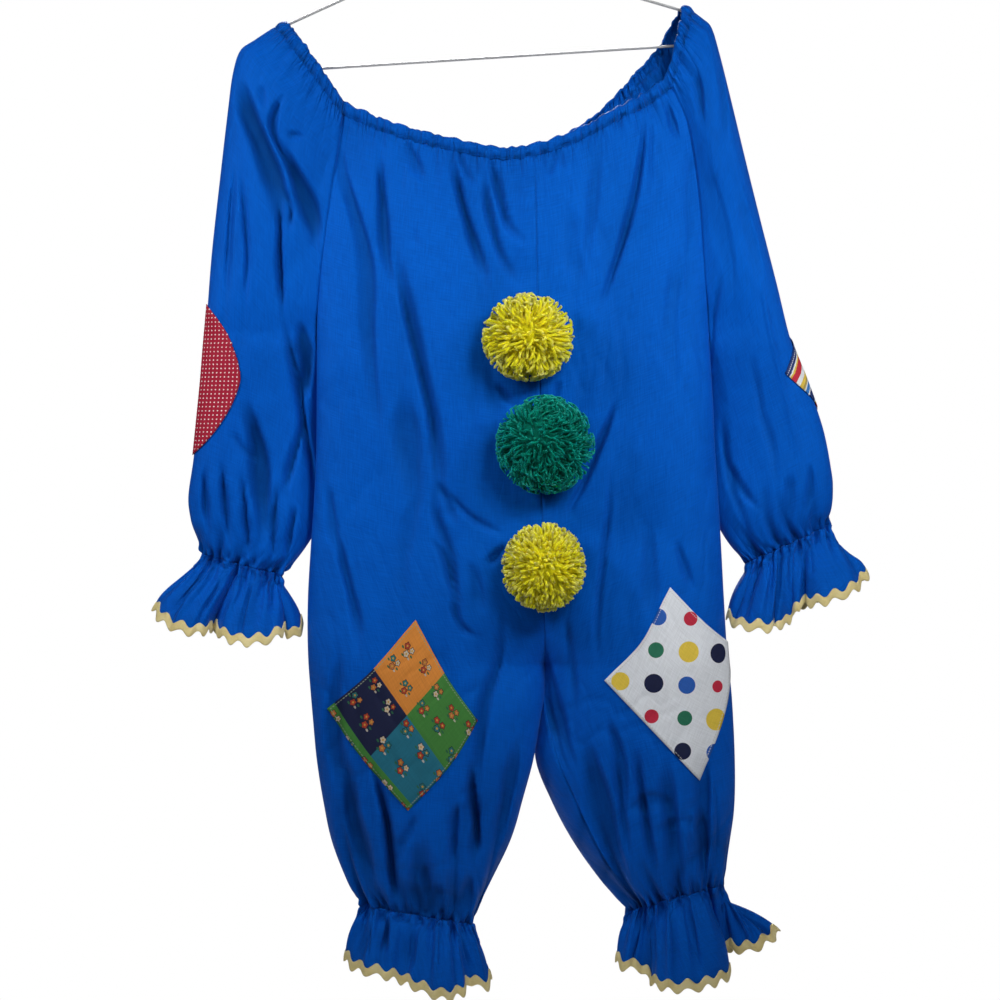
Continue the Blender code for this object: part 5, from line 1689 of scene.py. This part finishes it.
def elbowPoints(side, centreDrop, halfHeight, halfWidth, pastFold, rounding):
    smoothBase = basePoints["sleeve_" + side]
    rowCount, columnCount = smoothBase.shape[:2]
    s, t = gridShares(patch["steps"], patch["steps"])
    a, b = s - t, s + t - 1
    square = np.abs(a) + np.abs(b)
    swell = square / np.maximum((np.abs(a) ** rounding + np.abs(b) ** rounding) ** (1 / rounding), 1e-6)
    swell = np.where(square < 1e-6, 1.0, swell)
    awayAcross = a * swell * halfWidth
    wantedDrop = centreDrop + b * swell * halfHeight
    run = distances(smoothBase, 1)
    foldColumn = np.argmax(np.abs(smoothBase[..., 0] - smoothBase[:, :1, 0]), axis=1)
    foldRun = run[np.arange(rowCount), foldColumn]
    column = np.full(s.shape, columnCount / 2.0)
    row = np.full(s.shape, rowCount * 0.6)
    # the row and the column depend on each other a little, so both are looked for in turn
    for _ in range(8):
        i = np.clip(row, 0, rowCount - 1).round().astype(int)
        target = foldRun[i] + pastFold + awayAcross
        column = np.array([np.interp(goal, run[k], np.arange(columnCount))
                           for goal, k in zip(target.ravel(), i.ravel())]).reshape(s.shape)
        j = np.clip(column, 0, columnCount - 1).round().astype(int)
        row = np.array([np.interp(goal, -smoothBase[:, k, 2], np.arange(rowCount))
                        for goal, k in zip(wantedDrop.ravel(), j.ravel())]).reshape(s.shape)
    row = np.clip(row, 0, rowCount - 1.001)
    column = np.clip(column, 0, columnCount - 1.001)
    points, out = [readBetween(values["sleeve_" + side], row, column) for values in (finePoints, baseNormals)]
    return points, out, np.stack([awayAcross, wantedDrop - centreDrop], axis=-1)


patches = [
    ("right", "calico_knee_patch", "knee_patch", kneePoints("right", **knees["right"]), calico, calicoInk),
    ("left", "spotted_knee_patch", "knee_patch", kneePoints("left", **knees["left"]), spots, spotInk),
    ("right", "pin_dot_elbow_patch", "elbow_patch", elbowPoints("right", **elbows["right"]), pinDots, pinDotInk),
    ("left", "striped_elbow_patch", "elbow_patch", elbowPoints("left", **elbows["left"]), stripes, stripeInk),
]
for side, name, node, places, look, inkOf in patches:
    slot = name.replace("_knee", "").replace("_elbow", "")
    makePatchFinish(slot, look["cloth"], look, inkOf)
    addPatch(name, node + "_" + side, *places, slot, look["size"])
print("patches sewn on")


# yarn pompoms

# lie: how far the ends fall outward; drift: where they fall to; swirl: how far they sweep round; base and stray: how
# long and how ragged they are; sink: how far the knot lies below the middle; heart: the size of the ball inside
pompoms = {
    "pompom_top": {"strands": 1700, "thick": 1.35, "lie": 0.46, "drift": (-0.12, -0.20), "swirl": 0.25, "bend": 0.75,
                   "base": 0.75, "stray": 0.20, "sink": 3.0, "heart": 0.64, "seed": 11, "slot": "yellow_yarn"},
    "pompom_middle": {"strands": 2400, "thick": 0.95, "lie": 0.35, "drift": (0.20, 0.10), "swirl": 0.45, "bend": 0.75,
                      "base": 0.87, "stray": 0.13, "sink": 0.0, "heart": 0.78, "seed": 23, "slot": "green_yarn"},
    "pompom_bottom": {"strands": 1600, "thick": 1.35, "lie": 0.40, "drift": (0.04, -0.06), "swirl": 0.12, "bend": 0.45,
                      "base": 0.90, "stray": 0.10, "sink": 0.0, "heart": 0.80, "seed": 37, "slot": "yellow_yarn"},
}
yarns = {
    "yellow_yarn": {"deep": (0.98, 0.76, 0.006), "mid": (0.99, 0.88, 0.014), "pale": (0.98, 0.90, 0.20),
                    "sheen": (0.9, 0.8, 0.1), "soak": (1.0, 0.9, 0.25), "fuzz": 0.75},
    "green_yarn": {"deep": (0.000, 0.070, 0.048), "mid": (0.001, 0.150, 0.100), "pale": (0.014, 0.300, 0.200),
                   "sheen": (0.0, 0.5, 0.35), "soak": (0.1, 0.8, 0.6), "fuzz": 0.25},
}
strandShape = {
    "sides": 4,
    "rings": 5,
    "plies": 0.16,            # how far they stand out
    "thinRoot": 0.72,
    "tip": 0.62,
    "starts": 0.2,            # share of the ball's radius
    "stray": 0.09,            # of the ways from an even spread
    "wander": 0.16,
    "knotDepth": 0.62,        # share of the depth behind the front
    "past": 1.5,              # how far strands may pass the back of the solid
}
heartShape = {"bumps": (5.0, 0.06), "along": 0.55, "tone": 0.22}


def makeYarnFinish(name, shades):
    tree, shader = newFinish(name, name, 0.9)
    fuzz = solidSpeckle(tree, 1400.0, 2.0)
    # painted shade and highlight: a strand is darker towards its root inside the ball and paler at its tip, mixed with
    # tone that differs at random
    value = timesPlus(tree, attribute(tree, "along"), 0.40, times(tree, attribute(tree, "tone"), 0.45))
    value = timesPlus(tree, fuzz, 0.25, value)
    colour = ramp(tree, value, [(0.25, shades["deep"]), (0.62, shades["mid"]), (0.92, shades["pale"])])
    tree.links.new(colour, shader.inputs["Base Color"])
    setAll(shader, {"Sheen Weight": shades["fuzz"], "Sheen Tint": (*shades["sheen"], 1), "Subsurface Weight": 0.8,
                    "Subsurface Radius": shades["soak"], "Subsurface Scale": 0.014, "Specular IOR Level": 0.05})
    bump(tree, shader, fuzz, 0.6, 0.6 * metre)


def strandMesh():
    # one strand: a ring drawn out along z, closed at its tip
    strand = bmesh.new()
    bmesh.ops.create_circle(strand, segments=strandShape["sides"], radius=1.0, cap_ends=False)
    edges = list(strand.edges)
    for _ in range(strandShape["rings"]):
        drawn = bmesh.ops.extrude_edge_only(strand, edges=edges)["geom"]
        corners = [part for part in drawn if isinstance(part, bmesh.types.BMVert)]
        edges = [part for part in drawn if isinstance(part, bmesh.types.BMEdge)]
        bmesh.ops.translate(strand, verts=corners, vec=(0, 0, 1))
    bmesh.ops.contextual_create(strand, geom=edges)
    bmesh.ops.recalc_face_normals(strand, faces=strand.faces)
    mesh = bpy.data.meshes.new("strand")
    strand.to_mesh(mesh)
    strand.free()
    return mesh


oneStrand = strandMesh()
strandCorners = np.array([corner.co[:] for corner in oneStrand.vertices])
strandRing = strandCorners[:, 2].round().astype(int)


def strandLines(look, knot, half, frontReach, backReach, draw):
    # the middle of each strand, a side for it to lean to, and how near the rim it grows
    count = look["strands"]
    flat = np.array([1, 0, 1])
    k = np.arange(count)
    turn = k * math.pi * (3 - math.sqrt(5))
    level = 1 - 2 * (k + 0.5) / count
    ways = np.stack([np.cos(turn) * np.sqrt(1 - level ** 2), level, np.sin(turn) * np.sqrt(1 - level ** 2)], axis=1)
    ways = unit(ways + draw.normal(0, strandShape["stray"], ways.shape))
    lean = unit(np.cross(ways, draw.normal(0, 1, ways.shape)))
    reach = np.where(ways[:, 1] < 0, frontReach, backReach)
    size = np.stack([np.full(count, half[0]), reach, np.full(count, half[2])], axis=1)
    length = look["base"] + look["stray"] * draw.normal(0, 1, count).clip(-1.8, 1.1)
    drift = np.array([look["drift"][0], 0, look["drift"][1]])
    outward = ways * flat + drift + draw.normal(0, strandShape["wander"], ways.shape) * flat
    around = np.cross(outward, (0.0, 1.0, 0.0))
    lie = look["lie"] * draw.uniform(0.5, 1.1, count)
    sweep = np.sin(3.1 * ways[:, 0] + 2.3 * ways[:, 2] + look["seed"]) + draw.normal(0, 0.35, count)
    swirl = look["swirl"] * sweep
    bend = look["bend"] * draw.uniform(0.3, 1.0, count)
    starts = strandShape["starts"]
    line = []
    for share in np.linspace(0, 1, strandShape["rings"] + 1):
        place = ways * (starts + (length - starts) * np.sin(share * math.pi / 2) ** 0.9)[:, None]
        place = place + outward * (lie * share ** 2)[:, None]
        place = place + around * (swirl * share ** 1.6)[:, None] + lean * (bend * share ** 2 * 0.40)[:, None]
        away = np.linalg.norm(place, axis=1)
        place = place * np.minimum(1.0, length / np.maximum(away, 1e-6))[:, None]
        line.append(knot + place * size)
    return np.array(line).transpose(1, 0, 2), lean, np.linalg.norm(ways * flat, axis=1)


def makePompom(name, look):
    draw = np.random.default_rng(look["seed"])
    low, high = [np.array(corner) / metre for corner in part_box(name)]
    centre = (low + high) / 2
    half = (high - low) / 2
    knot = np.array([centre[0], low[1] + (high[1] - low[1]) * strandShape["knotDepth"], centre[2] - look["sink"]])
    frontReach = knot[1] - low[1]
    backReach = high[1] - knot[1]
    line, lean, rim = strandLines(look, knot, half, frontReach, backReach, draw)
    tangent = unit(np.gradient(line, axis=1))
    one = unit(np.cross(tangent, lean[:, None, :]))
    two = np.cross(tangent, one)
    t = np.linspace(0, 1, strandShape["rings"] + 1)
    thinRoot = strandShape["thinRoot"]
    thick = look["thick"] * (thinRoot + (1 - thinRoot) * np.sin(np.clip(t * 1.25, 0, 1) * math.pi / 2))
    thick[-1] *= strandShape["tip"]
    angle = np.arctan2(strandCorners[:, 1], strandCorners[:, 0])
    wide = thick[strandRing] * (1 + strandShape["plies"] * np.sin(2 * angle + strandRing * 1.9))
    corners = (line[:, strandRing] + one[:, strandRing] * (strandCorners[:, 0] * wide)[None, :, None]
               + two[:, strandRing] * (strandCorners[:, 1] * wide)[None, :, None]).reshape(-1, 3)
    corners[:, 1] = np.minimum(corners[:, 1], high[1] + strandShape["past"])
    pompom = bmesh.new()
    for _ in range(look["strands"]):
        pompom.from_mesh(oneStrand)
    for corner, place in zip(pompom.verts, corners):
        corner.co = place * metre
    # a round heart under the strands, so that no gap looks through the ball
    heart = bmesh.ops.create_icosphere(pompom, subdivisions=4, radius=1.0)["verts"]
    bumpSize, bumpHigh = heartShape["bumps"]
    for corner in heart:
        reach = (half[0], frontReach if corner.co.y < 0 else backReach, half[2])
        bumpy = look["heart"] + bumpHigh * noise.noise(corner.co * bumpSize)
        corner.co = [(knot[i] + corner.co[i] * reach[i] * bumpy) * metre for i in range(3)]
    for face in pompom.faces:
        face.smooth = True
    mesh = bpy.data.meshes.new("yarn_" + name)
    pompom.to_mesh(mesh)
    pompom.free()
    # paler on the strands that point out to the rim, a painted highlight, and uneven at random
    toneAndRimLight = np.repeat(0.55 * draw.uniform(0, 1, look["strands"]) + 0.45 * rim ** 2, len(strandCorners))
    values = {"along": np.tile(strandRing / strandShape["rings"], look["strands"]), "tone": toneAndRimLight}
    for key, value in values.items():
        layer = mesh.attributes.new(key, "FLOAT", "POINT")
        value = np.concatenate([value, np.full(len(heart), heartShape[key])])
        layer.data.foreach_set("value", value.astype(np.float32))
    addPiece("yarn_" + name, name, mesh, look["slot"])


for name, shades in yarns.items():
    makeYarnFinish(name, shades)
for name, look in pompoms.items():
    makePompom(name, look)
bpy.data.meshes.remove(oneStrand)
print("pompoms tied")


# the hanger's wire

wire = {"colour": (0.72, 0.73, 0.75), "dull": (0.58, 0.59, 0.61), "metal": 0.45, "roughness": 0.32, "smears": 14.0}


def finishWire():
    tree, shader = newFinish("hanger_steel", "hanger_steel", wire["roughness"])
    smear = solidSpeckle(tree, wire["smears"], 2.0)
    tree.links.new(ramp(tree, smear, [(0.3, wire["dull"]), (0.7, wire["colour"])]), shader.inputs["Base Color"])
    setAll(shader, {"Metallic": wire["metal"]})
    hanger = frame["nodes"]["hanger_wire"]
    hanger.data.materials.clear()
    hanger.data.materials.append(finishes["hanger_steel"])


finishWire()
print("hanger finished")


# what is cut from cloth, and the size of it all


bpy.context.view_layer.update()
for item in suit.objects:
    print(item.name, len(item.data.polygons), "faces", round(sum(face.area for face in item.data.polygons), 4), "m2")
